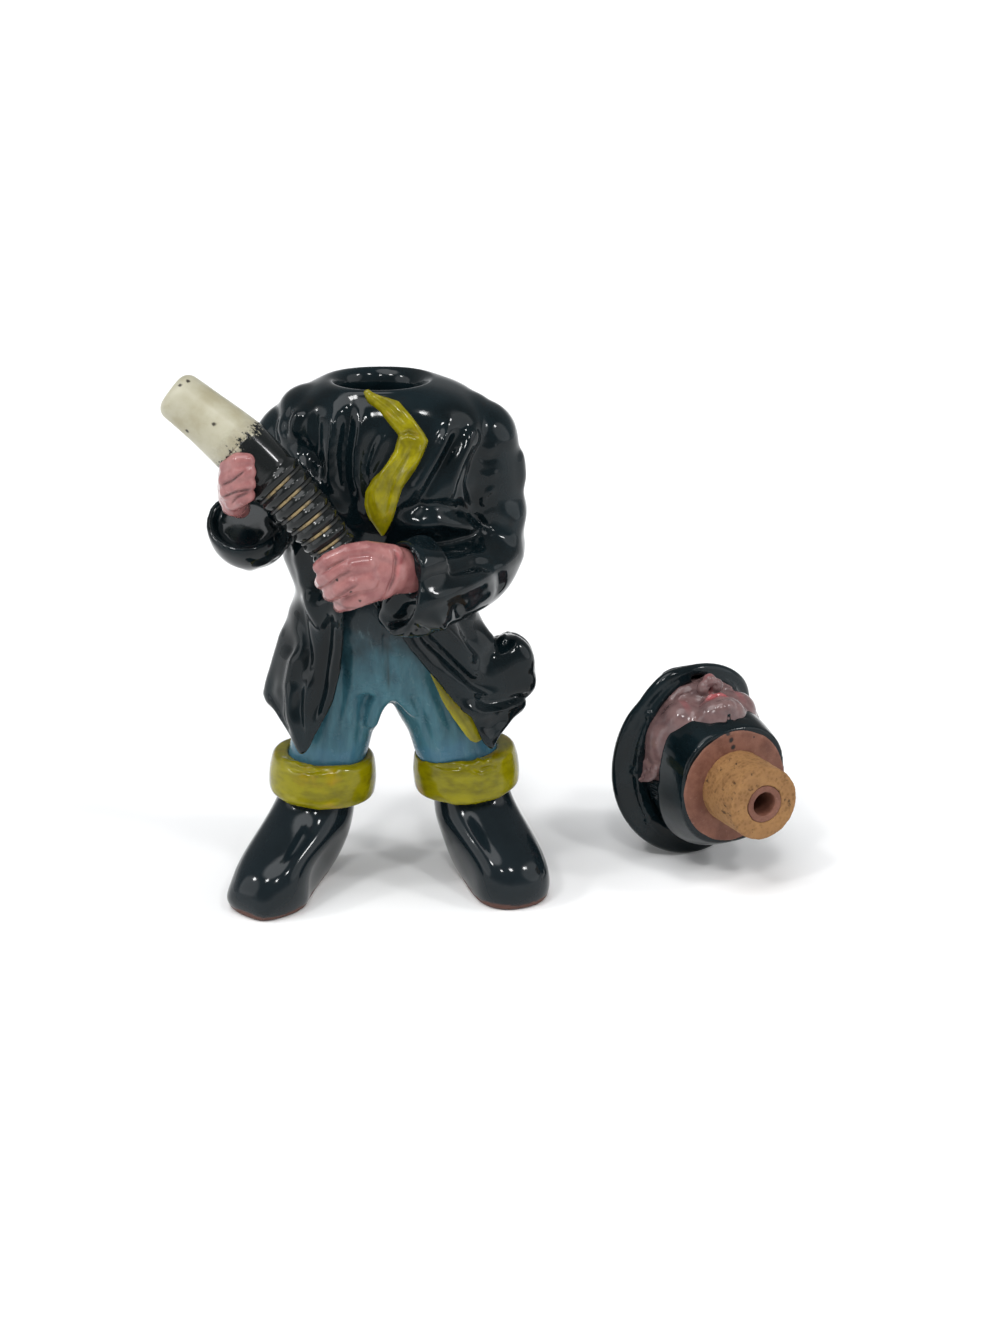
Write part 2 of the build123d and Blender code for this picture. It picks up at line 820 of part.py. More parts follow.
with BuildPart() as rib_blades:
    with BuildSketch(Plane.XY.offset(brim_height)):
        with Locations(crown_centre):
            with PolarLocations(0, crown_rib_count // 2, angular_range=180):
                Rectangle(2 * (crown_half_depth + overrun), crown_rib_width)
    extrude(amount=crown_height + overrun)

with BuildPart() as helmet_solid:
    add(brim.part)
    add(crown(0))
    add(rib_blades.part & crown(crown_rib_relief))

with BuildPart() as helmet:
    add(without(helmet_solid.part, crown(-wall), head_form))

with BuildPart() as helmet_shield:
    half = [(x * shield_width / 2, z * shield_height) for x, z in shield_outline_shares]
    outline = half + [(-x, z) for x, z in reversed(half[1:-1])]
    lifted = [(x, z + brim_height + brim_thickness) for x, z in outline]
    shield_stock = front_prism(lifted, -crown_half_depth - overrun, 0)
    add(without(shield_stock & crown(shield_relief), helmet_solid.part, crown(0)))

with BuildPart() as ears:
    for side in (-1, 1):
        ear = egg(on_head(ear_place_shares, side), [share * ear_half_height for share in ear_stretch_shares])
        add(without(ear, head_form, helmet.part, collar.part))

with BuildPart() as hair:
    hair_cap = without(head_egg(hair_relief), head_form, base_disc.part, collar.part, helmet.part)
    add(hair_cap)
    split(bisect_by=Plane.XZ.offset(-hair_front), keep=Keep.BOTTOM)
    add(ears.part, mode=Mode.SUBTRACT)

with BuildPart() as head:
    add(head_form)
    add(head_egg(-wall), mode=Mode.SUBTRACT)
    add(base_disc.part, mode=Mode.SUBTRACT)

figure = {
    "coat_body": coat_body,
    "coat_skirt": coat_skirt,
    "skirt_lining": skirt_lining,
    "lapel_lining": lapel_lining,
    "right_sleeve": right_sleeve,
    "left_sleeve": left_sleeve,
    "right_hand": right_hand,
    "left_hand": left_hand,
    "hose_barrel": hose_barrel,
    "grip_cords": grip_cords,
    "nozzle_tip": nozzle_tip,
    "trousers": trousers,
    "right_boot_cuff": right_boot_cuff,
    "left_boot_cuff": left_boot_cuff,
    "right_boot": right_boot,
    "left_boot": left_boot,
}
stopper = {
    "cork_sleeve": cork_sleeve,
    "neck_base": neck_base,
    "head": head,
    "ears": ears,
    "hair": hair,
    "collar": collar,
    "helmet": helmet,
    "helmet_shield": helmet_shield,
}

# The stopper lies on its back and touches the table; the whole part is centred on the origin
yaw = radians(stopper_yaw)
tilt = radians(stopper_tilt)
lying_plane = Plane(
    origin=(*stopper_place, 0),
    x_dir=(cos(yaw), sin(yaw), 0),
    z_dir=(-sin(yaw) * cos(tilt), cos(yaw) * cos(tilt), -sin(tilt)),
)
lying = [lying_plane.location * made.part for made in stopper.values()]
rise = -min(made.bounding_box().min.Z for made in lying)
lying = [Pos(0, 0, rise) * made for made in lying]
standing = [made.part for made in figure.values()]
boxes = [made.bounding_box() for made in (*standing, *lying)]
middle_x = (min(box.min.X for box in boxes) + max(box.max.X for box in boxes)) / 2
middle_y = (min(box.min.Y for box in boxes) + max(box.max.Y for box in boxes)) / 2

os.makedirs("parts", exist_ok=True)
for name, made in zip((*figure, *stopper), (*standing, *lying)):
    piece = Pos(-middle_x, -middle_y, 0) * made
    piece.label = name
    export_step(piece, f"parts/{name}.step")
    print(name, round(made.volume), made.is_valid, len(made.solids()))
print("centre", middle_x, middle_y, "rise", rise)
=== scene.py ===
import json
import math
import bmesh
import bpy
import numpy as np
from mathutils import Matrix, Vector
from mathutils import noise as solid_noise
from mathutils.bvhtree import BVHTree


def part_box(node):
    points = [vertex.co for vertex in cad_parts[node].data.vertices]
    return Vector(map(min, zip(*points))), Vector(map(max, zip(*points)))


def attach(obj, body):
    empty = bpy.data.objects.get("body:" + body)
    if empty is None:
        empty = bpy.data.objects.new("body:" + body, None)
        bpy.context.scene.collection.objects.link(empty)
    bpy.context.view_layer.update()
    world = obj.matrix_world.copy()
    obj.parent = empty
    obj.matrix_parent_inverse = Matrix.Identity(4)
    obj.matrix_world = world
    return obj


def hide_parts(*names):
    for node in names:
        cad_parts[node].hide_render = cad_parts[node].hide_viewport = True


# The figure is sculpted in millimetres in its own frame: origin on the table under the neck's axis,
# +X to the picture's right, -Y to the camera, +Z up. place() brings its points to the row frame in metres.

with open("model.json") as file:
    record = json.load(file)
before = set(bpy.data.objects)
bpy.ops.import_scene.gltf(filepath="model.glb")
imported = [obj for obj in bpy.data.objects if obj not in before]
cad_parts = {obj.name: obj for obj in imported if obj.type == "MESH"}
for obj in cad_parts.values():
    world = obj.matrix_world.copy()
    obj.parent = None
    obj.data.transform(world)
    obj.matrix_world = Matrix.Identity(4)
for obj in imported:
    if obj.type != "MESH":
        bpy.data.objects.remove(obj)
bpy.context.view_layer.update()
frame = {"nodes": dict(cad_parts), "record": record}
NODES = frame["nodes"]
MOUNTS = {mount["name"]: mount for mount in frame["record"]["mounts"]}
NECK = np.array([MOUNTS["neck_bore"]["pos_m"][0], MOUNTS["neck_bore"]["pos_m"][1], 0.0]) * 1000

# The photograph's camera, in the figure's frame
EYE = np.array([42.0, -850.0, 388.0])
AIM = np.array([42.0, 0.0, 81.0])
FOCAL = 2511.0
IMAGE = (1000, 1333)
FORWARD = (AIM - EYE) / np.linalg.norm(AIM - EYE)
RIGHT = np.cross(FORWARD, (0.0, 0.0, 1.0))
RIGHT /= np.linalg.norm(RIGHT)
UPWARD = np.cross(RIGHT, FORWARD)


def unit(vector):
    return np.asarray(vector, float) / np.linalg.norm(vector)


def place(points):
    """Figure-frame millimetres to row-frame metres."""
    return (np.asarray(points, float) + NECK) / 1000


def project(points):
    """Pixels of the photograph for figure-frame points."""
    away = points - EYE
    depth = away @ FORWARD
    x = IMAGE[0] / 2 + FOCAL * (away @ RIGHT) / depth
    y = IMAGE[1] / 2 - FOCAL * (away @ UPWARD) / depth
    return np.stack([x, y], 1)


def ray_to(x, y):
    """The camera's way to a pixel."""
    return FORWARD + RIGHT * (x - IMAGE[0] / 2) / FOCAL - UPWARD * (y - IMAGE[1] / 2) / FOCAL


def at(x, y, depth):
    """The figure-frame point that shows at a pixel and lies at a given Y."""
    ray = ray_to(x, y)
    return EYE + ray * (depth - EYE[1]) / ray[1]


# Meshes
def mesh_object(name, points, faces):
    """A smooth-shaded object from figure-frame points."""
    mesh = bpy.data.meshes.new(name)
    mesh.from_pydata(place(points).tolist(), [], [list(face) for face in faces])
    mesh.update()
    piece = bpy.data.objects.new(name, mesh)
    bpy.context.scene.collection.objects.link(piece)
    return piece


def apply_modifiers(piece):
    graph = bpy.context.evaluated_depsgraph_get()
    made = bpy.data.meshes.new_from_object(piece.evaluated_get(graph))
    made.name = piece.name
    piece.modifiers.clear()
    old = piece.data
    piece.data = made
    bpy.data.meshes.remove(old)
    piece.data.shade_smooth()


def add_smooth(piece, passes, factor):
    smooth = piece.modifiers.new("smooth", "SMOOTH")
    smooth.factor = factor
    smooth.iterations = passes


def remesh(piece, voxel, smoothing):
    """Voxel remesh in millimetres, then smoothing passes."""
    modifier = piece.modifiers.new("remesh", "REMESH")
    modifier.mode = "VOXEL"
    modifier.voxel_size = voxel / 1000
    add_smooth(piece, smoothing, 0.5)
    apply_modifiers(piece)
    return piece


def relax(piece, passes, factor):
    add_smooth(piece, passes, factor)
    apply_modifiers(piece)


def vertex_rows(piece, key):
    """Three values for each vertex of a piece."""
    values = np.zeros(len(piece.data.vertices) * 3)
    piece.data.vertices.foreach_get(key, values)
    return values.reshape(-1, 3)


def coords(piece):
    """Figure-frame points of a piece."""
    return vertex_rows(piece, "co") * 1000 - NECK


def set_coords(piece, points):
    piece.data.vertices.foreach_set("co", place(points).ravel())
    piece.data.update()


def form_of(piece):
    """The figure-frame points and the faces of a piece."""
    return coords(piece), [list(polygon.vertices) for polygon in piece.data.polygons]


def merged(forms):
    """Several (points, faces) forms as one."""
    faces, start = [], 0
    for form_points, form_faces in forms:
        faces += [[start + v for v in face] for face in form_faces]
        start += len(form_points)
    return np.concatenate([form[0] for form in forms]), faces


def joined(name, forms, voxel, smoothing):
    """One skin over overlapping (points, faces) forms."""
    return remesh(mesh_object(name, *merged(forms)), voxel, smoothing)


def node_union(name, node_names, voxel, smoothing, extra=()):
    """One skin over several CAD nodes and extra forms."""
    return joined(name, [form_of(NODES[node]) for node in node_names] + list(extra), voxel, smoothing)


def above_table(piece):
    """Lets nothing of a piece reach under the table."""
    points = coords(piece)
    points[:, 2] = np.maximum(points[:, 2], 0.0)
    set_coords(piece, points)


def normals(piece):
    return vertex_rows(piece, "normal")


def set_mask(piece, name, values):
    """A value for each point, which a material reads by name."""
    layer = piece.data.attributes.new(name, "FLOAT", "POINT")
    layer.data.foreach_set("value", np.clip(values, 0, 1).astype(np.float32))


# Sculpting
def stroke(flat, line, width):
    """Falloff 0..1 of flat points from a line, weaker towards its two ends."""
    line = np.asarray(line, float)
    reach = 2.6 * width
    inside = np.all((flat > line.min(0) - reach) & (flat < line.max(0) + reach), axis=1)
    rows = np.nonzero(inside)[0]
    near = np.full(len(rows), 1e9)
    share = np.zeros(len(rows))
    spans = np.linalg.norm(np.diff(line, axis=0), axis=1)
    total = spans.sum()
    before = 0.0
    points = flat[rows]
    for start, end, span in zip(line[:-1], line[1:], spans):
        step = (end - start) / span
        rel = points - start
        along = np.clip(rel @ step, 0, span)
        distance = np.linalg.norm(rel - along[:, None] * step, axis=1)
        closer = distance < near
        near[closer] = distance[closer]
        share[closer] = (before + along[closer]) / total
        before += span
    taper = np.clip(np.minimum(share, 1 - share) / 0.22, 0, 1)
    taper = taper * taper * (3 - 2 * taper)
    result = np.zeros(len(flat))
    result[rows] = np.exp(-((near / width) ** 2)) * (0.15 + 0.85 * taper)
    return result


def mirrored(line):
    """A line and its mirror image across the head's middle."""
    return [line, [(-x, z) for x, z in line]]


def facing(turned, direction):
    """1 where a surface faces a direction, 0 where it turns away, with a soft edge."""
    return np.clip((turned @ unit(direction) - 0.05) / 0.3, 0, 1)


def sculpt(piece, strokes, flatten=project, direction=-FORWARD, passes=1):
    """Raises or sinks a piece along strokes of (line, width, height), seen along one direction."""
    points, turned = coords(piece), normals(piece)
    flat = flatten(points)
    lift = np.zeros(len(points))
    for line, width, height in strokes:
        lift += height * stroke(flat, line, width)
    lift *= facing(turned, direction)
    set_coords(piece, points + turned * lift[:, None])
    if passes:
        relax(piece, passes, 0.35)


def from_side(across, up):
    """Flattens points to two of their coordinates, in millimetres."""
    return lambda points: points[:, [across, up]]


def pull(piece, spots):
    """Shifts a piece near places of the photograph: (pixel, reach in pixels, shift, lowest Y, highest Y)."""
    points = coords(piece)
    flat = project(points)
    shift = np.zeros(points.shape)
    for place_px, reach, offset, low, high in spots:
        weight = np.exp(-(np.linalg.norm(flat - place_px, axis=1) / reach) ** 2)
        weight *= np.clip((points[:, 1] - low) / 4.0, 0, 1) * np.clip((high - points[:, 1]) / 4.0, 0, 1)
        shift += weight[:, None] * np.asarray(offset, float)
    set_coords(piece, points + shift)


def tree_of(piece):
    points, faces = form_of(piece)
    return BVHTree.FromPolygons([Vector(point) for point in points], faces)


def on_surface(tree, x, y):
    """The point of a surface that shows at a pixel, and its normal."""
    point, normal, _, _ = tree.ray_cast(Vector(EYE), Vector(unit(ray_to(x, y))))
    return np.array(point), np.array(normal)


def cut_away(piece, outline, near, far):
    """Takes out of a piece what shows inside a pixel outline, between two depths."""
    count = len(outline)
    points = [at(x, y, near) for x, y in outline] + [at(x, y, far) for x, y in outline]
    faces = [list(range(count)), list(range(2 * count - 1, count - 1, -1))]
    faces += [[n, n + count, (n + 1) % count + count, (n + 1) % count] for n in range(count)]
    cutter = mesh_object("cutter", points, faces)
    bm = bmesh.new()
    bm.from_mesh(cutter.data)
    bmesh.ops.recalc_face_normals(bm, faces=bm.faces)
    bm.to_mesh(cutter.data)
    bm.free()
    modifier = piece.modifiers.new("cut", "BOOLEAN")
    modifier.operation = "DIFFERENCE"
    modifier.object = cutter
    apply_modifiers(piece)
    bpy.data.objects.remove(cutter)


def even(line, count):
    """Points spread evenly along a line."""
    line = np.asarray(line, float)
    run = np.concatenate([[0], np.cumsum(np.linalg.norm(np.diff(line, axis=0), axis=1))])
    steps = np.linspace(0, run[-1], count)
    return np.stack([np.interp(steps, run, line[:, 0]), np.interp(steps, run, line[:, 1])], 1)


def laid(name, tree, left, right, height, sunk, voxel=0.4, smoothing=3, rows=70, columns=13):
    """A raised area on a surface, between two pixel lines, with a crowned section."""
    tops, lows = [], []
    for (x0, y0), (x1, y1) in zip(even(left, rows), even(right, rows)):
        for share in np.linspace(0, 1, columns):
            point, normal = on_surface(tree, x0 + (x1 - x0) * share, y0 + (y1 - y0) * share)
            crown = max(0.0, 1 - abs(2 * share - 1) ** 5) ** 0.5
            tops.append(point + normal * (height * crown - 0.2))
            lows.append(point - normal * sunk)
    count = rows * columns
    faces = []
    for row in range(rows - 1):
        for column in range(columns - 1):
            a = row * columns + column
            faces.append([a, a + columns, a + columns + 1, a + 1])
            faces.append([count + a, count + a + 1, count + a + columns + 1, count + a + columns])
    border = list(range(columns))
    border += [row * columns + columns - 1 for row in range(1, rows)]
    border += [(rows - 1) * columns + column for column in range(columns - 2, -1, -1)]
    border += [row * columns for row in range(rows - 2, 0, -1)]
    for a, b in zip(border, border[1:] + border[:1]):
        faces.append([a, b, count + b, count + a])
    return remesh(mesh_object(name, np.array(tops + lows), faces), voxel, smoothing)


# Round forms
BALL = bpy.data.meshes.new("ball")
bm = bmesh.new()
bmesh.ops.create_icosphere(bm, subdivisions=4, radius=1.0)
bm.to_mesh(BALL)
bm.free()
BALL_POINTS = np.array([v.co for v in BALL.vertices])
BALL_FACES = [list(p.vertices) for p in BALL.polygons]
bpy.data.meshes.remove(BALL)


def blob(centre, radii, axes=None):
    """An ellipsoid; axes are the rows of its frame."""
    points = BALL_POINTS * np.broadcast_to(radii, 3)
    if axes is not None:
        points = points @ np.asarray(axes)
    return points + np.asarray(centre), BALL_FACES


def chain(stations, step=0.35):
    """Balls along a line of (point, radius), close enough to read as one limb."""
    forms = []
    for (start, r0), (end, r1) in zip(stations[:-1], stations[1:]):
        count = max(2, int(np.linalg.norm(end - start) / (step * min(r0, r1))) + 1)
        for number in range(count):
            t = number / count
            forms.append(blob(start + (end - start) * t, r0 + (r1 - r0) * t))
    forms.append(blob(stations[-1][0], stations[-1][1]))
    return forms


def tube(profile, origin, axis, side, turns=72):
    """Revolves (height, radius) rows about an axis; rows of radius 0 close it."""
    axis = unit(axis)
    side = unit(np.asarray(side) - axis * np.dot(side, axis))
    other = np.cross(axis, side)
    angles = np.arange(turns) * 2 * math.pi / turns
    round_ = np.cos(angles)[:, None] * side + np.sin(angles)[:, None] * other
    points, rows = [], []
    for height, radius in profile:
        if radius == 0:
            rows.append([len(points)])
            points.append(origin + axis * height)
        else:
            rows.append(list(range(len(points), len(points) + turns)))
            points += list(origin + axis * height + round_ * radius)
    faces = []
    for low, high in zip(rows[:-1], rows[1:]):
        for n in range(turns):
            m = (n + 1) % turns
            if len(low) == 1 and len(high) == 1:
                continue
            if len(low) == 1:
                faces.append([low[0], high[m], high[n]])
            elif len(high) == 1:
                faces.append([low[n], low[m], high[0]])
            else:
                faces.append([low[n], low[m], high[m], high[n]])
    return np.array(points), faces


def px_chain(*stations):
    """A chain of balls given as (pixel x, pixel y, figure Y, radius)."""
    return chain([(at(x, y, depth), radius) for x, y, depth, radius in stations])


def roughness_at(point, size, seed):
    """Solid noise about zero at a figure-frame point."""
    return solid_noise.noise(Vector(point) / size + Vector((seed, seed * 2.0, seed * 3.0)))


def finished(piece, body, slot, finish, *replaced):
    """Says what a piece rides on, its finish and the CAD nodes that it stands for."""
    piece.data.materials.clear()
    piece.data.materials.append(finish)
    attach(piece, body)
    if replaced:
        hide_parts(*replaced)


# Finishes
class Finish:
    """A node material over the principled shader; sizes are in millimetres."""

    def __init__(self, name, roughness, specular=0.5):
        self.material = bpy.data.materials.new(name)
        self.material.use_nodes = True
        self.tree = self.material.node_tree
        self.shader = self.tree.nodes["Principled BSDF"]
        self.shader.inputs["Roughness"].default_value = roughness
        self.shader.inputs["Specular IOR Level"].default_value = specular
        self.place = self.new("ShaderNodeTexCoord").outputs["Object"]
        self.height = None

    def new(self, kind, **settings):
        node = self.tree.nodes.new(kind)
        for key, value in settings.items():
            setattr(node, key, value)
        return node

    def feed(self, socket, value):
        if isinstance(value, bpy.types.NodeSocket):
            self.tree.links.new(value, socket)
        elif isinstance(value, (tuple, list)) and len(value) == 3 and socket.type == "RGBA":
            socket.default_value = (*value, 1.0)
        else:
            socket.default_value = value

    def mapped(self, size, stretch=(1.0, 1.0, 1.0), offset=0.0):
        node = self.new("ShaderNodeMapping")
        node.inputs["Scale"].default_value = [1000 / size * share for share in stretch]
        node.inputs["Location"].default_value = (offset, offset * 0.7, offset * 1.3)
        self.feed(node.inputs["Vector"], self.place)
        return node.outputs["Vector"]

    def noise(self, size, detail=3.0, stretch=(1.0, 1.0, 1.0), offset=0.0, roughness=0.5):
        node = self.new("ShaderNodeTexNoise")
        node.inputs["Scale"].default_value = 1.0
        node.inputs["Detail"].default_value = detail
        node.inputs["Roughness"].default_value = roughness
        self.feed(node.inputs["Vector"], self.mapped(size, stretch, offset))
        return node.outputs["Fac"]

    def cells(self, size):
        node = self.new("ShaderNodeTexVoronoi")
        node.inputs["Scale"].default_value = 1.0
        self.feed(node.inputs["Vector"], self.mapped(size))
        return node.outputs["Distance"]

    def ramp(self, value, low, high, floor=0.0, top=1.0):
        node = self.new("ShaderNodeMapRange", interpolation_type="SMOOTHSTEP")
        for name, number in (("From Min", low), ("From Max", high), ("To Min", floor), ("To Max", top)):
            node.inputs[name].default_value = number
        self.feed(node.inputs["Value"], value)
        return node.outputs["Result"]

    def maths(self, operation, first, second):
        node = self.new("ShaderNodeMath", operation=operation)
        self.feed(node.inputs[0], first)
        self.feed(node.inputs[1], second)
        return node.outputs[0]

    def blend(self, share, first, second):
        node = self.new("ShaderNodeMix", data_type="RGBA")
        self.feed(node.inputs[0], share)
        self.feed(node.inputs[6], first)
        self.feed(node.inputs[7], second)
        return node.outputs[2]

    def mask(self, name):
        return self.new("ShaderNodeAttribute", attribute_name=name).outputs["Fac"]

    def height_up(self, size, spread, offset=0.0):
        """Height above the table in millimetres, made uneven by noise of a size and a spread."""
        up = self.axis((0.0, 0.0, 0.0), (0.0, 0.0, 1.0))
        uneven = self.ramp(self.noise(size, offset=offset), 0.2, 0.8, -spread, spread)
        return self.maths("ADD", up, uneven)

    def axis(self, point, direction):
        """Distance in millimetres along a direction from a figure-frame point."""
        point, direction = place(point), unit(direction)
        node = self.new("ShaderNodeVectorMath", operation="DOT_PRODUCT")
        self.feed(node.inputs[0], self.place)
        node.inputs[1].default_value = direction * 1000
        return self.maths("SUBTRACT", node.outputs["Value"], float(point @ direction * 1000))

    def spots(self, points, radius):
        """1 inside small round marks at figure-frame points."""
        result = None
        for point in points:
            node = self.new("ShaderNodeVectorMath", operation="DISTANCE")
            self.feed(node.inputs[0], self.place)
            node.inputs[1].default_value = place(point)
            one = node.outputs["Value"]
            result = one if result is None else self.maths("MINIMUM", result, one)
        ragged = self.maths("MULTIPLY", self.noise(1.1, 2.0), 0.0011)
        return self.ramp(self.maths("ADD", result, ragged), radius * 0.0016, radius * 0.0009)

    def colour(self, value):
        self.feed(self.shader.inputs["Base Color"], value)

    def gloss(self, value):
        self.feed(self.shader.inputs["Roughness"], value)

    def relief(self, value, depth):
        """Adds fine relief of a depth in millimetres."""
        node = self.new("ShaderNodeBump")
        node.inputs["Strength"].default_value = 1.0
        node.inputs["Distance"].default_value = depth / 1000
        self.feed(node.inputs["Height"], value)
        if self.height is not None:
            self.feed(node.inputs["Normal"], self.height)
        self.height = node.outputs["Normal"]
        self.feed(self.shader.inputs["Normal"], self.height)


def glaze_waves(finish, depth=0.05):
    """The slow waves and the fine pinholes of a fired glaze."""
    finish.relief(finish.noise(9.0, 2.0), depth)
    finish.relief(finish.noise(2.2, 2.0, offset=4.0), depth * 0.12)


def black_glaze():
    finish = Finish("black_glaze", 0.1, specular=0.24)
    thick = finish.ramp(finish.noise(16.0, 3.0), 0.35, 0.7)
    colour = finish.blend(thick, (0.0020, 0.0050, 0.0064), (0.0050, 0.0108, 0.0136))
    brown = finish.ramp(finish.noise(7.0, 4.0, offset=9.0), 0.60, 0.80, 0.0, 0.5)
    colour = finish.blend(brown, colour, (0.0090, 0.0074, 0.0062))
    finish.colour(colour)
    finish.gloss(finish.ramp(finish.noise(5.0, 3.0, offset=2.0), 0.3, 0.8, 0.05, 0.16))
    glaze_waves(finish)
    return finish.material


def boot_glaze():
    """Black glaze that stops short of the sole, where the red clay shows."""
    finish = Finish("boot_glaze", 0.1, specular=0.24)
    colour = finish.blend(finish.noise(14.0), (0.0030, 0.0060, 0.0078), (0.0100, 0.0160, 0.0196))
    bare = finish.ramp(finish.height_up(9.0, 1.1, offset=3.0), 2.9, 1.6)
    clay = finish.blend(finish.noise(2.5, 4.0), (0.070, 0.028, 0.020), (0.120, 0.055, 0.040))
    finish.colour(finish.blend(bare, colour, clay))
    finish.gloss(finish.maths("ADD", finish.ramp(bare, 0.0, 1.0, 0.0, 0.5), 0.09))
    glaze_waves(finish)
    return finish.material


def yellow_glaze(name, light, dark, grain, olive=0.35):
    """Brushed yellow with olive streaks and orange pools, darkened by painted shade along its crease mask;
    grain stretches the brush marks.
    """
    finish = Finish(name, 0.14, specular=0.26)
    streaks = finish.ramp(finish.noise(5.0, 4.0, grain, roughness=0.6), 0.34, 0.68)
    colour = finish.blend(streaks, dark, light)
    fine = finish.ramp(finish.noise(1.8, 3.0, grain, offset=5.0), 0.35, 0.7, 0.0, 0.45)
    colour = finish.blend(fine, colour, light)
    pool = finish.ramp(finish.noise(11.0, 2.0, offset=7.0), 0.56, 0.72, 0.0, 0.7)
    colour = finish.blend(pool, colour, (0.30, 0.175, 0.006))
    green = finish.ramp(finish.noise(9.0, 3.0, offset=13.0), 0.58, 0.75, 0.0, olive)
    colour = finish.blend(green, colour, (0.066, 0.088, 0.010))
    # Painted shade: the crease mask darkens the yellow in its folds and along its edges.
    finish.colour(finish.blend(finish.mask("crease_line_and_shade"), colour, (0.085, 0.074, 0.006)))
    finish.gloss(finish.ramp(finish.noise(4.0, 3.0, offset=1.0), 0.3, 0.8, 0.08, 0.28))
    glaze_waves(finish, 0.06)
    finish.relief(finish.noise(1.6, 3.0, grain), 0.02)
    return finish.material


def blue_glaze():
    finish = Finish("blue_glaze", 0.2, specular=0.28)
    grain = (1.0, 1.0, 0.22)
    streaks = finish.ramp(finish.noise(4.5, 4.0, grain, roughness=0.6), 0.3, 0.72)
    colour = finish.blend(streaks, (0.027, 0.090, 0.120), (0.052, 0.150, 0.185))
    # Painted shade: darker towards the top, where the trousers rise inside the coat's opening.
    shaded_top = finish.ramp(finish.height_up(12.0, 7.0), 80.0, 104.0)
    colour = finish.blend(shaded_top, colour, (0.009, 0.019, 0.024))
    blue = finish.ramp(finish.height_up(6.0, 4.0, offset=4.0), 60.0, 50.0, 0.0, 0.5)
    colour = finish.blend(blue, colour, (0.050, 0.140, 0.225))
    pale = finish.ramp(finish.noise(3.0, 5.0, grain, offset=11.0, roughness=0.7), 0.58, 0.8, 0.0, 0.5)
    colour = finish.blend(pale, colour, (0.150, 0.235, 0.250))
    # Painted shade along the groove between the legs, from the crease mask.
    finish.colour(finish.blend(finish.mask("crease_line_and_shade"), colour, (0.016, 0.035, 0.040)))
    finish.gloss(finish.ramp(finish.noise(4.0, 3.0, offset=1.0), 0.3, 0.8, 0.13, 0.34))
    glaze_waves(finish, 0.06)
    finish.relief(finish.noise(1.4, 3.0, grain), 0.025)
    return finish.material


def pink_glaze(name, light, dark, specks=()):
    finish = Finish(name, 0.17, specular=0.4)
    patches = finish.ramp(finish.noise(5.0, 4.0), 0.3, 0.7)
    colour = finish.blend(patches, dark, light)
    pale = finish.ramp(finish.noise(2.4, 4.0, offset=6.0, roughness=0.7), 0.55, 0.75, 0.0, 0.35)
    colour = finish.blend(pale, colour, tuple(1.16 * value for value in light))
    colour = finish.blend(finish.mask("rouge"), colour, (0.44, 0.075, 0.085))
    colour = finish.blend(finish.mask("crease_line_and_shade"), colour, (0.050, 0.018, 0.018))
    if len(specks):
        colour = finish.blend(finish.spots(specks, 0.8), colour, (0.030, 0.018, 0.018))
    finish.colour(colour)
    finish.gloss(finish.ramp(finish.noise(3.0, 3.0, offset=1.0), 0.3, 0.8, 0.10, 0.30))
    glaze_waves(finish, 0.05)
    return finish.material


def hose_glaze(joint, axis, chips):
    """Cream tube, brushed black below a ragged edge; joint is a point of that edge."""
    finish = Finish("hose_glaze", 0.2, specular=0.3)
    along = finish.axis(joint, axis)
    ragged = finish.ramp(finish.noise(2.6, 5.0, roughness=0.75), 0.25, 0.75, -3.4, 3.4)
    brush = finish.ramp(finish.noise(1.1, 3.0, offset=3.0, roughness=0.8), 0.3, 0.7, -1.2, 1.2)
    edge = finish.maths("ADD", finish.maths("ADD", along, ragged), brush)
    cream = finish.ramp(edge, -0.3, 0.3)
    tone = finish.ramp(finish.noise(10.0, 4.0), 0.3, 0.7)
    pale = finish.blend(tone, (0.33, 0.30, 0.20), (0.44, 0.42, 0.32))
    stain = finish.ramp(finish.noise(4.0, 5.0, offset=8.0, roughness=0.7), 0.55, 0.8, 0.0, 0.35)
    pale = finish.blend(stain, pale, (0.28, 0.24, 0.15))
    dirt = finish.ramp(edge, 7.0, 0.0, 0.0, 0.45)
    pale = finish.blend(finish.maths("MULTIPLY", dirt, finish.noise(1.6, 4.0)), pale, (0.16, 0.15, 0.13))
    pale = finish.blend(finish.spots(chips, 0.95), pale, (0.045, 0.038, 0.030))
    dark = finish.blend(finish.noise(8.0), (0.0034, 0.0046, 0.0050), (0.0110, 0.0130, 0.0130))
    finish.colour(finish.blend(cream, dark, pale))
    finish.gloss(finish.ramp(cream, 0.0, 1.0, 0.12, 0.3))
    glaze_waves(finish, 0.05)
    return finish.material


def gilt():
    """Worn gilding: bright on the upper front, rubbed through to black elsewhere."""
    finish = Finish("gilt", 0.38)
    worn = finish.ramp(finish.noise(1.5, 4.0, roughness=0.7), 0.30, 0.52)
    shown = finish.maths("MULTIPLY", worn, finish.mask("gilded"))
    tone = finish.blend(finish.noise(1.2, 3.0, offset=2.0), (0.16, 0.105, 0.040), (0.36, 0.27, 0.125))
    finish.colour(finish.blend(shown, (0.0085, 0.0095, 0.0090), tone))
    finish.shader.inputs["Metallic"].default_value = 0.15
    finish.relief(finish.noise(0.8, 3.0), 0.03)
    return finish.material


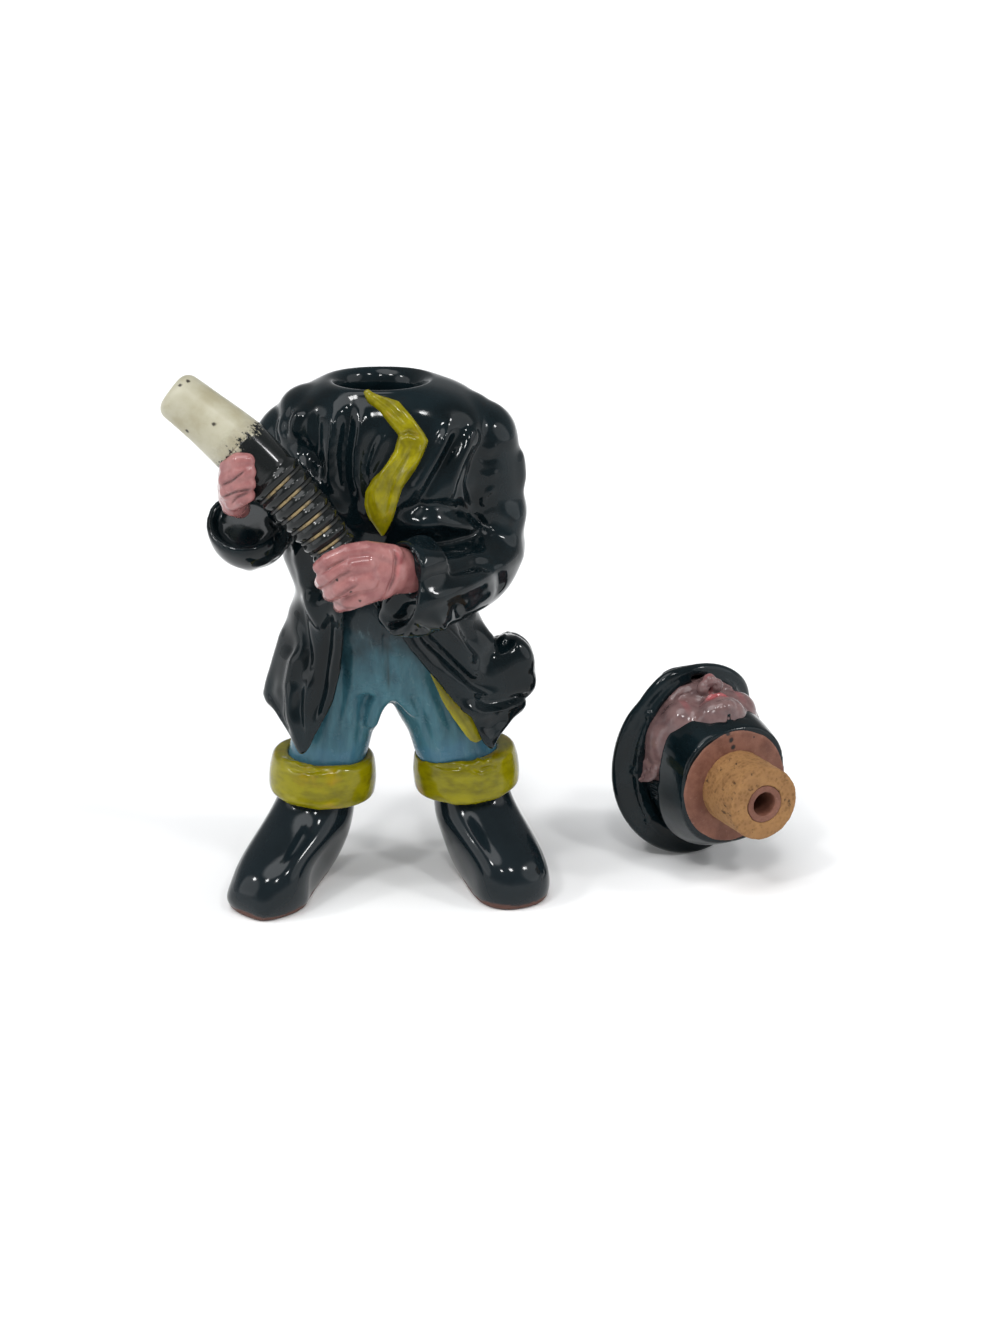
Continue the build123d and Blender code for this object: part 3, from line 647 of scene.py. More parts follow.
def terracotta(marks=()):
    finish = Finish("terracotta", 0.62, specular=0.35)
    tone = finish.ramp(finish.noise(7.0, 5.0, roughness=0.65), 0.3, 0.7)
    colour = finish.blend(tone, (0.115, 0.042, 0.026), (0.20, 0.085, 0.055))
    dust = finish.ramp(finish.noise(1.6, 5.0, offset=3.0, roughness=0.75), 0.55, 0.75, 0.0, 0.5)
    colour = finish.blend(dust, colour, (0.30, 0.165, 0.125))
    for points, radius in marks:
        colour = finish.blend(finish.spots(points, radius), colour, (0.012, 0.012, 0.012))
    finish.colour(colour)
    finish.relief(finish.noise(0.9, 4.0, roughness=0.7), 0.06)
    return finish.material


def cork():
    finish = Finish("cork", 0.72, specular=0.25)
    tone = finish.ramp(finish.noise(5.0, 5.0, roughness=0.65), 0.28, 0.72)
    colour = finish.blend(tone, (0.150, 0.070, 0.024), (0.280, 0.145, 0.052))
    grains = finish.ramp(finish.cells(1.5), 0.15, 0.6)
    colour = finish.blend(finish.maths("MULTIPLY", grains, 0.5), colour, (0.32, 0.17, 0.07))
    long_pits = finish.ramp(finish.noise(2.2, 5.0, (1.0, 0.35, 1.0), offset=6.0, roughness=0.7), 0.60, 0.70)
    dark_pits = finish.ramp(finish.noise(1.1, 4.0, offset=2.0, roughness=0.7), 0.66, 0.74)
    pits = finish.maths("MAXIMUM", long_pits, dark_pits)
    finish.colour(finish.blend(pits, colour, (0.060, 0.032, 0.016)))
    finish.relief(finish.noise(0.7, 4.0, roughness=0.7), 0.12)
    finish.relief(finish.maths("SUBTRACT", 1.0, pits), 0.35)
    return finish.material


coat_finish = black_glaze()
boot_finish = boot_glaze()
cuff_finish = yellow_glaze("cuff_glaze", (0.225, 0.200, 0.001), (0.120, 0.106, 0.001), (0.4, 0.4, 1.1))
lapel_finish = yellow_glaze("lapel_glaze", (0.290, 0.255, 0.002), (0.130, 0.112, 0.002), (0.5, 1.0, 0.5))
lining_finish = yellow_glaze("lining_glaze", (0.280, 0.250, 0.008), (0.160, 0.140, 0.006), (0.6, 1.0, 0.4),
                             olive=0.2)
face_finish = pink_glaze("face_glaze", (0.175, 0.106, 0.102), (0.112, 0.066, 0.066))
cork_finish = cork()


# Coat: one glazed skin over torso, skirt and sleeves, with its folds
BACK = (0.0, 1.0, 0.0)
CUFF_BACK, CUFF_EDGE = at(436, 565, -41.0), at(403, 572, -49.5)
CUFF_PROFILE = [(0.0, 0.0), (0.0, 9.0), (7.0, 10.2), (12.6, 10.5), (13.6, 10.0), (13.8, 9.3), (13.0, 8.8),
                (9.0, 8.6), (9.0, 0.0)]
left_cuff = tube(CUFF_PROFILE, CUFF_BACK, CUFF_EDGE - CUFF_BACK, (0.0, 0.0, 1.0))
FILL = [
    # Shoulders, the left cuff and its hanging flap, and the blown-out curl, rounder than the solids
    blob(at(478, 440, 1.0), (14.4, 15.0, 14.6)),
    blob(at(458, 414, 1.0), (13.0, 14.0, 8.6)),
    blob(at(311, 410, -1.0), (11.5, 14.0, 9.2)),
    *px_chain((505, 460, 0.0, 7.0), (506, 500, -3.0, 7.0), (502, 538, -8.0, 7.8)),
    left_cuff,
    *px_chain((404, 590, -46.0, 5.0), (396, 603, -44.0, 5.2), (389, 617, -41.0, 4.2)),
    *px_chain((490, 672, -6.0, 8.0), (505, 660, 0.0, 10.0), (509, 660, 9.0, 10.0), (505, 662, 16.0, 8.6)),
    *px_chain((470, 676, -10.0, 6.0), (496, 684, -6.0, 7.0), (515, 679, -1.0, 7.0), (522, 668, 4.0, 5.4)),
]
coat = node_union("coat", ["coat_body", "coat_skirt", "right_sleeve", "left_sleeve"], 0.85, 9, FILL)
# The skirt opens from the waist down, so the trousers show right up to the hand
OPENING = [(344, 588), (360, 588), (374, 606), (398, 634), (420, 658), (432, 680), (440, 702), (446, 742),
           (446, 775), (296, 775), (312, 750), (325, 722), (334, 700), (341, 670), (344, 640)]
cut_away(coat, OPENING, -33.6, -13.5)
remesh(coat, 0.85, 2)
# The mouth of the neck flares to a soft lip, wider towards the left shoulder
LIP_MIDDLE, LIP_RADIUS, LIP_REACH = (0.9, 0.0), 14.2, 3.2
LIP_FOOT, LIP_RISE, LIP_FLARE, LIP_SHIFT = 181.0, 5.5, 1.9, (0.7, 0.0)
points = coords(coat)
around = points[:, :2] - LIP_MIDDLE
out = np.linalg.norm(around, axis=1)
lip = np.exp(-((out - LIP_RADIUS) / LIP_REACH) ** 2)
lip *= np.clip((points[:, 2] - LIP_FOOT) / LIP_RISE, 0, 1) ** 2
points[:, :2] += around / out[:, None] * (LIP_FLARE * lip)[:, None] + np.array(LIP_SHIFT) * lip[:, None]
set_coords(coat, points)
coat_tree = tree_of(coat)

CHEST_FOLDS = [
    # Right of the opening, between the hose and the lapel
    ([(334, 404), (334, 430), (331, 455), (330, 478), (338, 502)], 6.2, 2.3),
    ([(350, 402), (347, 430), (343, 455), (345, 480), (353, 506)], 4.8, -2.2),
    ([(362, 408), (361, 432), (357, 456), (356, 478), (362, 500)], 4.8, 1.6),
    ([(378, 426), (369, 448), (364, 468), (367, 502)], 3.8, -1.4),
    ([(388, 432), (378, 448), (371, 464), (369, 478)], 3.2, 1.0),
    ([(317, 410), (316, 436), (316, 458), (322, 482)], 5.0, -2.0),
    ([(301, 408), (294, 424), (293, 440)], 5.2, 1.8),
    ([(285, 414), (281, 430), (286, 444)], 4.0, 1.0),
    ([(292, 408), (287, 422), (288, 436)], 2.6, -1.0),
    ([(300, 438), (311, 454), (322, 474)], 4.0, -1.2),
    ([(288, 450), (311, 472), (329, 498), (348, 526)], 4.4, 2.2),
    ([(392, 436), (386, 458), (371, 480), (363, 503), (371, 526)], 3.2, -1.0),
    # Left of the opening, up to the armpit
    ([(450, 422), (443, 440), (434, 458), (422, 478), (408, 500)], 5.2, 2.4),
    ([(463, 426), (453, 448), (441, 470), (427, 494), (414, 515)], 4.6, -2.2),
    ([(474, 424), (468, 442), (459, 460), (451, 482), (447, 504)], 5.2, 2.0),
    ([(485, 440), (476, 458), (469, 484), (473, 508)], 4.6, -1.5),
    ([(470, 428), (477, 436), (474, 448)], 3.0, 0.8),
    ([(479, 447), (488, 450), (497, 446)], 2.6, 0.9),
    ([(480, 457), (489, 460), (499, 456)], 2.4, -0.8),
    ([(478, 474), (488, 477), (498, 472)], 2.6, 0.9),
    ([(480, 503), (487, 494), (496, 488)], 2.8, 1.2),
    ([(478, 512), (488, 508), (497, 503)], 2.6, -0.8),
    ([(456, 498), (468, 511), (480, 522), (490, 530)], 4.0, -1.7),
    ([(478, 522), (486, 530), (493, 537)], 2.6, 0.9),
    # Left forearm, from its upper ridge down
    ([(402, 529), (420, 524), (440, 522), (464, 526), (484, 536)], 6.4, 2.2),
    ([(398, 514), (416, 508), (440, 506), (460, 511), (473, 519)], 5.4, -2.0),
    ([(410, 536), (430, 542), (460, 545), (490, 548)], 6.0, -1.0),
    ([(412, 608), (440, 597), (470, 585), (500, 568), (519, 551)], 7.5, 1.6),
    ([(412, 588), (432, 576), (460, 568), (490, 560)], 6.5, -1.4),
    ([(411, 547), (413, 555), (417, 562)], 1.8, 0.6),
    ([(417, 547), (420, 556), (425, 563)], 2.0, -0.6),
    # Right forearm and the waist under it
    ([(270, 512), (281, 534), (291, 554)], 4.8, -2.0),
    ([(296, 540), (300, 560), (306, 592)], 5.0, 1.4),
    ([(314, 556), (315, 580), (321, 604)], 4.6, -1.4),
]
SKIRT_FOLDS = [
    ([(338, 600), (337, 650), (330, 696), (321, 722), (310, 754)], 2.6, 1.3),
    ([(329, 602), (326, 650), (320, 692), (311, 728)], 4.2, -1.9),
    ([(306, 588), (310, 606), (325, 634)], 5.0, 1.8),
    ([(298, 594), (301, 620), (306, 650), (308, 676)], 5.2, -1.8),
    ([(297, 640), (290, 662), (286, 684), (290, 710), (302, 744)], 7.2, 2.2),
    ([(276, 670), (270, 692), (277, 714), (292, 740)], 4.4, -1.2),
    ([(310, 676), (307, 704), (308, 734)], 4.0, 1.6),
    ([(299, 688), (298, 712), (304, 738)], 3.2, -1.2),
    ([(372, 606), (394, 634), (420, 658), (442, 682), (461, 711), (482, 746)], 3.0, 1.2),
    ([(428, 610), (446, 630), (466, 650), (484, 664)], 5.6, 2.0),
    ([(408, 618), (430, 642), (454, 663), (476, 681), (502, 693)], 5.4, -2.6),
    ([(402, 632), (430, 662), (456, 682), (482, 697)], 4.0, 1.4),
    ([(474, 697), (492, 701), (512, 699), (532, 690)], 3.6, -2.0),
    ([(458, 705), (482, 714), (508, 708), (530, 698)], 5.0, 1.6),
    ([(470, 722), (488, 730), (510, 716)], 4.4, -1.0),
    ([(482, 726), (488, 738), (494, 751)], 4.0, 1.0),
    ([(476, 606), (482, 634), (490, 656)], 6.0, 1.2),
    ([(494, 604), (497, 622), (498, 640)], 4.2, -1.6),
    ([(454, 604), (464, 626), (476, 648)], 5.4, -1.4),
]
BACK_FOLDS = [
    ([(-30, 100), (-33, 84), (-37, 68)], 3.6, -1.8),
    ([(-23, 104), (-25, 86), (-28, 66)], 3.6, 2.0),
    ([(-15, 106), (-16, 86), (-19, 62)], 3.4, -2.0),
    ([(-8, 108), (-8, 88), (-10, 64)], 3.6, 1.8),
    ([(7, 106), (8, 86), (10, 62)], 3.6, 2.0),
    ([(15, 106), (18, 84), (22, 66)], 3.4, -2.0),
    ([(24, 106), (29, 86), (36, 70)], 4.0, 2.1),
    ([(33, 104), (39, 88), (46, 78)], 3.6, -1.8),
    ([(0, 112), (0, 90), (1, 58)], 1.4, -2.0),
    ([(-3, 110), (-3, 90), (-2, 58)], 1.8, 1.0),
    ([(-30, 164), (-14, 158), (0, 156.5), (14, 158), (30, 164)], 1.6, -1.5),
    ([(-30, 166.5), (-14, 160.5), (0, 159), (14, 160.5), (30, 166.5)], 1.7, 1.0),
    ([(-28, 148), (-18, 132), (-8, 118)], 4.0, -1.7),
    ([(-20, 150), (-11, 137), (-4, 122)], 4.0, 1.5),
    ([(-34, 138), (-25, 124), (-15, 112)], 4.0, 1.6),
    ([(30, 148), (20, 132), (10, 118)], 4.0, -1.7),
    ([(22, 150), (13, 137), (6, 122)], 4.0, 1.5),
    ([(36, 136), (28, 124), (17, 112)], 4.0, 1.6),
    ([(-32, 113), (-14, 110), (0, 109), (16, 110), (34, 113)], 2.6, -1.8),
]
SIDE_FOLDS = [
    # Seen from a side, as Y and Z: elbow, forearm and the skirt's flank
    ([(-20, 150), (-8, 146), (4, 148)], 2.8, -0.5),
    ([(-22, 144), (-8, 139), (6, 142)], 2.8, 0.5),
    ([(-20, 136), (-6, 132), (8, 136)], 3.0, -0.5),
    ([(-24, 128), (-8, 125), (8, 130)], 3.0, 0.5),
    ([(-10, 172), (-4, 160), (-2, 148)], 4.0, 0.6),
    ([(2, 172), (6, 160), (6, 148)], 4.0, -0.6),
    ([(-34, 132), (-28, 124), (-24, 116)], 3.0, -1.2),
    ([(-14, 100), (-16, 84), (-18, 66)], 3.8, -1.8),
    ([(-4, 102), (-5, 84), (-6, 62)], 4.0, 1.8),
    ([(6, 102), (8, 84), (9, 62)], 3.8, -1.8),
    ([(16, 100), (19, 84), (22, 64)], 4.0, 1.7),
]
sculpt(coat, CHEST_FOLDS + SKIRT_FOLDS, passes=3)
sculpt(coat, BACK_FOLDS, from_side(0, 2), BACK, 2)
for side in (-1, 1):
    sculpt(coat, SIDE_FOLDS, from_side(1, 2), (side, 0.0, 0.0), 2)
pull(coat, [
    ((302, 746), 12, (0, 0, -3.0), -60, 4),
    ((262, 684), 12, (-0.9, 0, 0), -60, 20),
    ((492, 744), 9, (0.3, 0, -1.8), -60, 4),
])
finished(coat, "figure", "black_glaze", coat_finish, "coat_body", "coat_skirt", "right_sleeve", "left_sleeve")

# Trousers, boots and their turned-down tops
arch = [form for depth in (-13.0, -8.0, -3.0, 2.0, 7.0) for form in px_chain(
    (371, 722, depth, 2.6), (375, 706, depth, 3.2), (384, 694, depth, 3.4), (394, 690, depth, 3.4),
    (403, 696, depth, 3.2), (412, 710, depth, 2.6))]
hips = blob((1.0, -8.0, 106.0), (24.0, 15.6, 17.0))
trousers = node_union("trouser_legs", ["trousers"], 0.85, 8, [hips, *arch])
pull(trousers, [((410, 728), 18, (1.6, 0, 0), -40, 30)])
sculpt(trousers, [
    ([(386, 606), (386, 640), (387, 666), (391, 696)], 2.4, -1.5),
    ([(376, 620), (378, 662), (382, 688)], 3.6, 0.9),
    ([(397, 640), (398, 664), (401, 690)], 3.6, 0.9),
    ([(356, 640), (352, 690), (345, 736)], 4.6, 0.9),
    ([(344, 656), (341, 700), (333, 744)], 3.4, -0.9),
    ([(366, 690), (362, 716), (358, 748)], 3.6, -0.7),
    ([(420, 674), (432, 704), (444, 742)], 4.4, 0.9),
    ([(411, 690), (422, 716), (431, 746)], 3.4, -0.8),
    ([(436, 690), (446, 716), (458, 742)], 3.0, -0.6),
], passes=2)
# Painted shade in the groove between the legs.
leg_gap_shade_line = [(387, 640), (387, 664), (390, 694)]
set_mask(trousers, "crease_line_and_shade", 0.8 * stroke(project(coords(trousers)), leg_gap_shade_line, 1.4))
finished(trousers, "figure", "blue_glaze", blue_glaze(), "trousers")

BOOT_SHIFTS = {
    "right": [
        ((354, 826), 22, (1.6, 0, 0), -60, 40),
        ((330, 876), 26, (-3.2, 0, 0), -60, 40),
        ((226, 900), 14, (-1.6, 0, 0), -60, 40),
        ((262, 915), 16, (0, -2.0, 0), -60, 40),
    ],
    "left": [
        ((438, 818), 22, (-1.6, 0, 0), -60, 40),
        ((456, 876), 26, (2.2, 0, 0), -60, 40),
    ],
}
for side, shifts in BOOT_SHIFTS.items():
    boot = node_union(f"{side}_boot_shell", [f"{side}_boot"], 0.7, 8)
    pull(boot, shifts)
    above_table(boot)
    finished(boot, "figure", "black_glaze", boot_finish, f"{side}_boot")

CUFF_DENTS = [
    ([(280, 758), (290, 763), (302, 764)], 2.2, 0.9),
    ([(284, 765), (296, 770), (310, 772), (332, 769)], 2.4, -1.2),
    ([(306, 764), (318, 771), (312, 779)], 2.0, 0.9),
    ([(318, 768), (334, 768), (352, 764)], 2.2, 0.9),
    ([(330, 792), (334, 780), (336, 770)], 3.2, 0.5),
    ([(274, 790), (290, 800), (320, 806), (352, 800)], 3.4, 0.9),
    ([(432, 764), (446, 768), (464, 767)], 2.2, -1.1),
    ([(436, 759), (450, 762), (470, 760)], 2.0, 0.9),
    ([(474, 758), (484, 764), (492, 758)], 2.4, 1.0),
    ([(468, 767), (482, 771), (498, 765)], 2.2, -1.1),
    ([(436, 792), (456, 803), (486, 802), (512, 790)], 3.4, 0.9),
    ([(478, 792), (480, 780), (478, 770)], 3.2, 0.5),
]
BACK_DENTS = [([(-36, 46), (-24, 44), (-10, 46)], 1.8, -0.8), ([(18, 46), (30, 44), (42, 46)], 1.8, -0.8)]
# Lines of painted shade along the tops of the turned-down cuffs.
CUFF_TOP_SHADE_LINES = {
    "right": [(270, 752), (292, 766), (330, 768), (374, 756)],
    "left": [(420, 756), (446, 765), (482, 766), (516, 752)],
}
FOLD_DROP, FOLD_INSET, FOLD_HALF = 4.6, 2.2, 3.4
for side, top_shade_line in CUFF_TOP_SHADE_LINES.items():
    low, high = [np.array(corner) * 1000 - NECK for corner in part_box(f"{side}_boot_cuff")]
    middle = (low + high) / 2
    middle[2] = high[2] - FOLD_DROP
    fold = blob(middle, ((high[0] - low[0]) / 2 - FOLD_INSET, (high[1] - low[1]) / 2 - FOLD_INSET, FOLD_HALF))
    cuff = node_union(f"{side}_boot_top", [f"{side}_boot_cuff"], 0.6, 6, [fold])
    sculpt(cuff, CUFF_DENTS, passes=2)
    sculpt(cuff, BACK_DENTS, from_side(0, 2), BACK)
    # Painted shade along the top of each turned-down cuff, where it meets the trousers.
    set_mask(cuff, "crease_line_and_shade", 0.4 * stroke(project(coords(cuff)), top_shade_line, 1.6))
    finished(cuff, "figure", "yellow_glaze", cuff_finish, f"{side}_boot_cuff")

# Linings: the lapel turned out on the chest, and the strip inside the skirt
LAPEL_LEFT = [(363, 393), (367, 402), (379, 411), (388, 423), (398, 435), (394, 451), (384, 468), (372, 479),
              (365, 492), (364, 506), (368, 518), (376, 528), (381, 534)]
LAPEL_RIGHT = [(370, 392), (384, 397), (400, 402), (412, 416), (424, 432), (429, 441), (424, 455), (416, 470),
               (403, 488), (397, 506), (393, 520), (388, 529), (384, 534)]
lapel = laid("lapel", coat_tree, LAPEL_LEFT, LAPEL_RIGHT, 2.3, 1.4)
sculpt(lapel, [
    ([(398, 437), (408, 433), (420, 437)], 2.2, -1.0),
    ([(424, 442), (417, 458), (405, 474), (397, 490)], 2.6, 0.9),
    ([(412, 446), (404, 462), (394, 478), (388, 498), (384, 520)], 2.2, -0.9),
    ([(401, 446), (394, 460), (383, 474), (375, 492), (378, 516)], 2.8, 0.8),
    ([(372, 394), (388, 406), (404, 422)], 2.4, -0.7),
], passes=1)
flat = project(coords(lapel))
# Painted shade along the lapel's folds.
set_mask(lapel, "crease_line_and_shade", 0.55 * stroke(flat, [(398, 438), (405, 446), (400, 460)], 1.6)
         + 0.5 * stroke(flat, [(370, 486), (368, 502), (376, 522)], 1.4)
         + 0.45 * stroke(flat, [(412, 448), (402, 468), (392, 494)], 1.3))
finished(lapel, "figure", "yellow_glaze", lapel_finish, "lapel_lining")
skirt_strip = node_union("skirt_strip", ["skirt_lining"], 0.45, 4)
# Painted shade along the strip's fold.
fold_shade_line = [(438, 684), (456, 710), (478, 744)]
set_mask(skirt_strip, "crease_line_and_shade", 0.5 * stroke(project(coords(skirt_strip)), fold_shade_line, 1.6))
finished(skirt_strip, "figure", "yellow_glaze", lining_finish, "skirt_lining")

# Hose: a turned tube with a ribbed grip, its gilt cords and its pale end
HOSE_LINE = [(347, 568, -51.3), (329, 544, -50.9), (308, 515, -49.8), (285, 489, -48.4), (240, 446, -45.6),
             (203, 416, -43.4), (171, 390, -41.6)]
HOSE_POINTS = np.array([at(*station) for station in HOSE_LINE])
HOSE_RUN = np.concatenate([[0], np.cumsum(np.linalg.norm(np.diff(HOSE_POINTS, axis=0), axis=1))])
HOSE_FITS = [np.polyfit(HOSE_RUN, HOSE_POINTS[:, axis], 3) for axis in range(3)]
HOSE_LENGTH = HOSE_RUN[-1]
JOINT = HOSE_RUN[4]
CORD_FIRST, CORD_PITCH, CORDS = 10.4, 5.0, 6
HOSE_SIDE = np.array([0.0, -1.0, 0.0])
HOSE_RADII = [7.2, 7.2, 8.2, 9.0, 10.1, 8.9, 8.2]
END_ROUND = 4.0


def hose_point(height):
    return np.array([np.polyval(fit, height) for fit in HOSE_FITS])


def hose_way(height):
    return unit(hose_point(height + 0.5) - hose_point(height - 0.5))


def hose_radius(height):
    """The plain radius of the tube at a height."""
    return float(np.interp(height, HOSE_RUN, HOSE_RADII))


def bent_tube(profile, turns=96):
    """Revolves (height, radius) rows about the hose's line; a radius of 0 closes it."""
    points, faces = tube(profile, np.zeros(3), (0.0, 0.0, 1.0), (1.0, 0.0, 0.0), turns)
    bent = np.empty_like(points)
    for row, (x, y, height) in enumerate(points):
        way = hose_way(height)
        side = unit(HOSE_SIDE - way * np.dot(HOSE_SIDE, way))
        bent[row] = hose_point(height) + x * side + y * np.cross(way, side)
    return bent, faces


profile = [(0.0, 0.0), (0.0, 5.0), (0.6, 6.8), (1.6, 7.2)]
height = 2.6
while height < JOINT - 0.3:
    phase = (height - CORD_FIRST) / CORD_PITCH
    inside_grip = min(max((phase + 1.2) / 0.7, 0.0), 1.0) * min(max((CORDS + 0.2 - phase) / 0.7, 0.0), 1.0)
    swell = inside_grip * (1.15 * math.sin(math.pi * phase) ** 2 - 0.35)
    profile.append((height, hose_radius(height) + swell))
    height += 0.35
profile += [(JOINT, hose_radius(JOINT)), (JOINT, 0.0)]
barrel = mesh_object("hose_grip", *bent_tube(profile))
barrel.data.shade_smooth()
profile = [(JOINT, 0.0)] + [(h, hose_radius(h)) for h in np.linspace(JOINT, HOSE_LENGTH - END_ROUND, 30)]
for turn in np.linspace(0, math.pi / 2, 9)[1:]:
    profile.append((HOSE_LENGTH - END_ROUND + END_ROUND * math.sin(turn), 4.4 + END_ROUND * math.cos(turn)))
profile += [(HOSE_LENGTH - 0.3, 3.2), (HOSE_LENGTH - 0.7, 1.8), (HOSE_LENGTH - 0.8, 0.0)]
nozzle = mesh_object("hose_nozzle", *bent_tube(profile))
nozzle.data.shade_smooth()
nozzle_tree = tree_of(nozzle)
chips = [on_surface(nozzle_tree, x, y)[0] for x, y in ((188, 381), (180, 385), (214, 424), (187, 431))]
hose_finish = hose_glaze(hose_point(JOINT), hose_way(JOINT), chips)
finished(barrel, "figure", "black_glaze", hose_finish, "hose_barrel")
finished(nozzle, "figure", "cream_glaze", hose_finish, "nozzle_tip")

CORD_RADIUS, CORD_SUNK = 0.5, 0.15
rings, share, seen = [], [], []
for number in range(CORDS):
    middle = CORD_FIRST + number * CORD_PITCH
    section = [(middle + CORD_RADIUS * math.sin(a), hose_radius(middle) - CORD_SUNK + CORD_RADIUS * math.cos(a))
               for a in np.linspace(-math.pi, math.pi, 15)]
    rings.append(bent_tube(section))
    across = np.cross(hose_way(middle), HOSE_SIDE)
    rel = rings[-1][0] - hose_point(middle)
    share.append(rel @ unit(across * np.sign(across[2])) / hose_radius(middle))
    seen.append(rel @ HOSE_SIDE > 0)
cords = mesh_object("gilt_cords", *merged(rings))
cords.data.shade_smooth()
share = np.concatenate(share)
gilded = np.clip((share + 0.55) / 0.3, 0, 1) * np.clip((0.72 - share) / 0.25, 0, 1)
set_mask(cords, "gilded", gilded * np.concatenate(seen))
finished(cords, "figure", "gilt", gilt(), "grip_cords")


# Hands: fingers wrapped round the tube, creases and knuckles
# The wrist, then four fingers
LEFT_LIMBS = [
    [(414, 574, -43.0, 8.2), (398, 570, -47.0, 8.0), (384, 571, -50.0, 8.6)],
    [(392, 556, -53.0, 4.0), (366, 550, -56.0, 3.2), (346, 553, -58.0, 3.0), (328, 561, -59.0, 2.8),
     (320, 567, -56.0, 2.5)],
    [(366, 564, -57.0, 4.2), (347, 566, -59.5, 3.4), (332, 574, -60.0, 3.1), (324, 579, -56.0, 2.8),
     (322, 582, -51.0, 2.6)],
    [(368, 578, -57.5, 4.4), (352, 582, -59.5, 3.5), (340, 588, -59.5, 3.2), (332, 592, -55.5, 2.9),
     (330, 594, -50.0, 2.6)],
    [(374, 590, -55.5, 4.0), (360, 597, -57.5, 3.3), (349, 602, -57.0, 3.0), (342, 604, -53.0, 2.7),
     (340, 606, -48.0, 2.4)],
]
forms = [blob(at(371, 574, -52.5), (11.5, 7.0, 9.6)), blob(at(355, 577, -54.5), (8.5, 5.6, 9.2))]
for limb in LEFT_LIMBS:
    forms += px_chain(*limb)
left_hand = joined("left_fist", forms, 0.5, 4)
left_lines = [
    [(348, 558), (336, 564), (322, 573)],
    [(352, 571), (341, 576), (328, 586)],
    [(358, 585), (349, 590), (336, 598)],
    [(393, 545), (396, 560), (394, 578), (386, 596)],
]
knuckles = [([(350, 565), (346, 568)], 3.0, 0.6), ([(356, 580), (351, 583)], 3.0, 0.6),
            ([(364, 594), (359, 597)], 2.8, 0.5)]
sculpt(left_hand, [(line, 1.3, -0.9) for line in left_lines[:3]] + [(left_lines[3], 2.0, -1.3)] + knuckles)
flat = project(coords(left_hand))
set_mask(left_hand, "crease_line_and_shade", sum(0.5 * stroke(flat, line, 0.8) for line in left_lines)
         + 0.5 * stroke(flat, [(332, 600), (346, 608), (362, 608)], 1.2))
set_mask(left_hand, "rouge", 0.25 * stroke(flat, [(396, 548), (400, 562), (397, 580)], 2.5))
hand_tree = tree_of(left_hand)
specks = [on_surface(hand_tree, x, y)[0] for x, y in ((337, 580), (351, 592), (360, 601))]
hand_finish = pink_glaze("hand_glaze", (0.345, 0.150, 0.142), (0.240, 0.088, 0.088), specks)
finished(left_hand, "figure", "pink_glaze", hand_finish, "left_hand")

RIGHT_LIMBS = [
    [(240, 508, -37.0, 3.6), (236, 504, -42.0, 4.2)],
    [(227, 475, -45.0, 3.0), (229, 467, -52.5, 3.2), (238, 462, -56.5, 3.2), (247, 461, -57.0, 2.7)],
    [(226, 487, -45.0, 3.0), (228, 480, -53.5, 3.3), (239, 474, -57.5, 3.3), (248, 472, -58.0, 2.8)],
    [(227, 498, -45.0, 3.0), (229, 491, -53.0, 3.2), (240, 486, -57.0, 3.2), (248, 484, -58.0, 2.7)],
    [(230, 507, -45.0, 2.8), (234, 502, -51.5, 3.0), (242, 497, -55.5, 3.0), (248, 495, -57.0, 2.5)],
]
forms = [blob(at(234, 491, -44.0), (5.4, 7.0, 8.4)), blob(at(234, 502, -46.0), (4.2, 6.0, 4.8))]
for limb in RIGHT_LIMBS:
    forms += px_chain(*limb)
right_hand = joined("right_fist", forms, 0.5, 4)
right_lines = [
    [(220, 486), (232, 481), (246, 470)],
    [(221, 498), (236, 492), (253, 489)],
    [(231, 505), (236, 498), (250, 492)],
]
sculpt(right_hand, [(line, 1.2, -0.9) for line in right_lines])
flat = project(coords(right_hand))
set_mask(right_hand, "crease_line_and_shade", 0.95 * stroke(flat, right_lines[0], 0.9) + stroke(flat, right_lines[1], 1.0)
         + 0.7 * stroke(flat, right_lines[2], 0.9))
finished(right_hand, "figure", "pink_glaze", hand_finish, "right_hand")


# Stopper: its own frame has the cork's end at -Z, the helmet at +Z and the face towards -Y
PLUG = MOUNTS["cork_plug"]
LYING_Z = -unit(PLUG["axis"])
LYING_X = unit(np.array([LYING_Z[1], -LYING_Z[0], 0.0]))
LYING_Y = np.cross(LYING_Z, LYING_X)
LYING = np.array([LYING_X, LYING_Y, LYING_Z])
NECK_FACE = np.array(PLUG["pos_m"]) * 1000 - NECK + 10.0 * LYING_Z


def lying(points):
    """Figure-frame points of the stopper's own."""
    return NECK_FACE + np.asarray(points, float) @ LYING


def own(points):
    """The stopper's own points of figure-frame points."""
    return (points - NECK_FACE) @ LYING.T


def own_flat(across, up):
    return lambda points: own(points)[:, [across, up]]


def head_blob(centre, radii):
    return blob(lying(centre), radii, LYING)


def head_chain(*stations):
    return chain([(lying(station[:3]), station[3]) for station in stations])


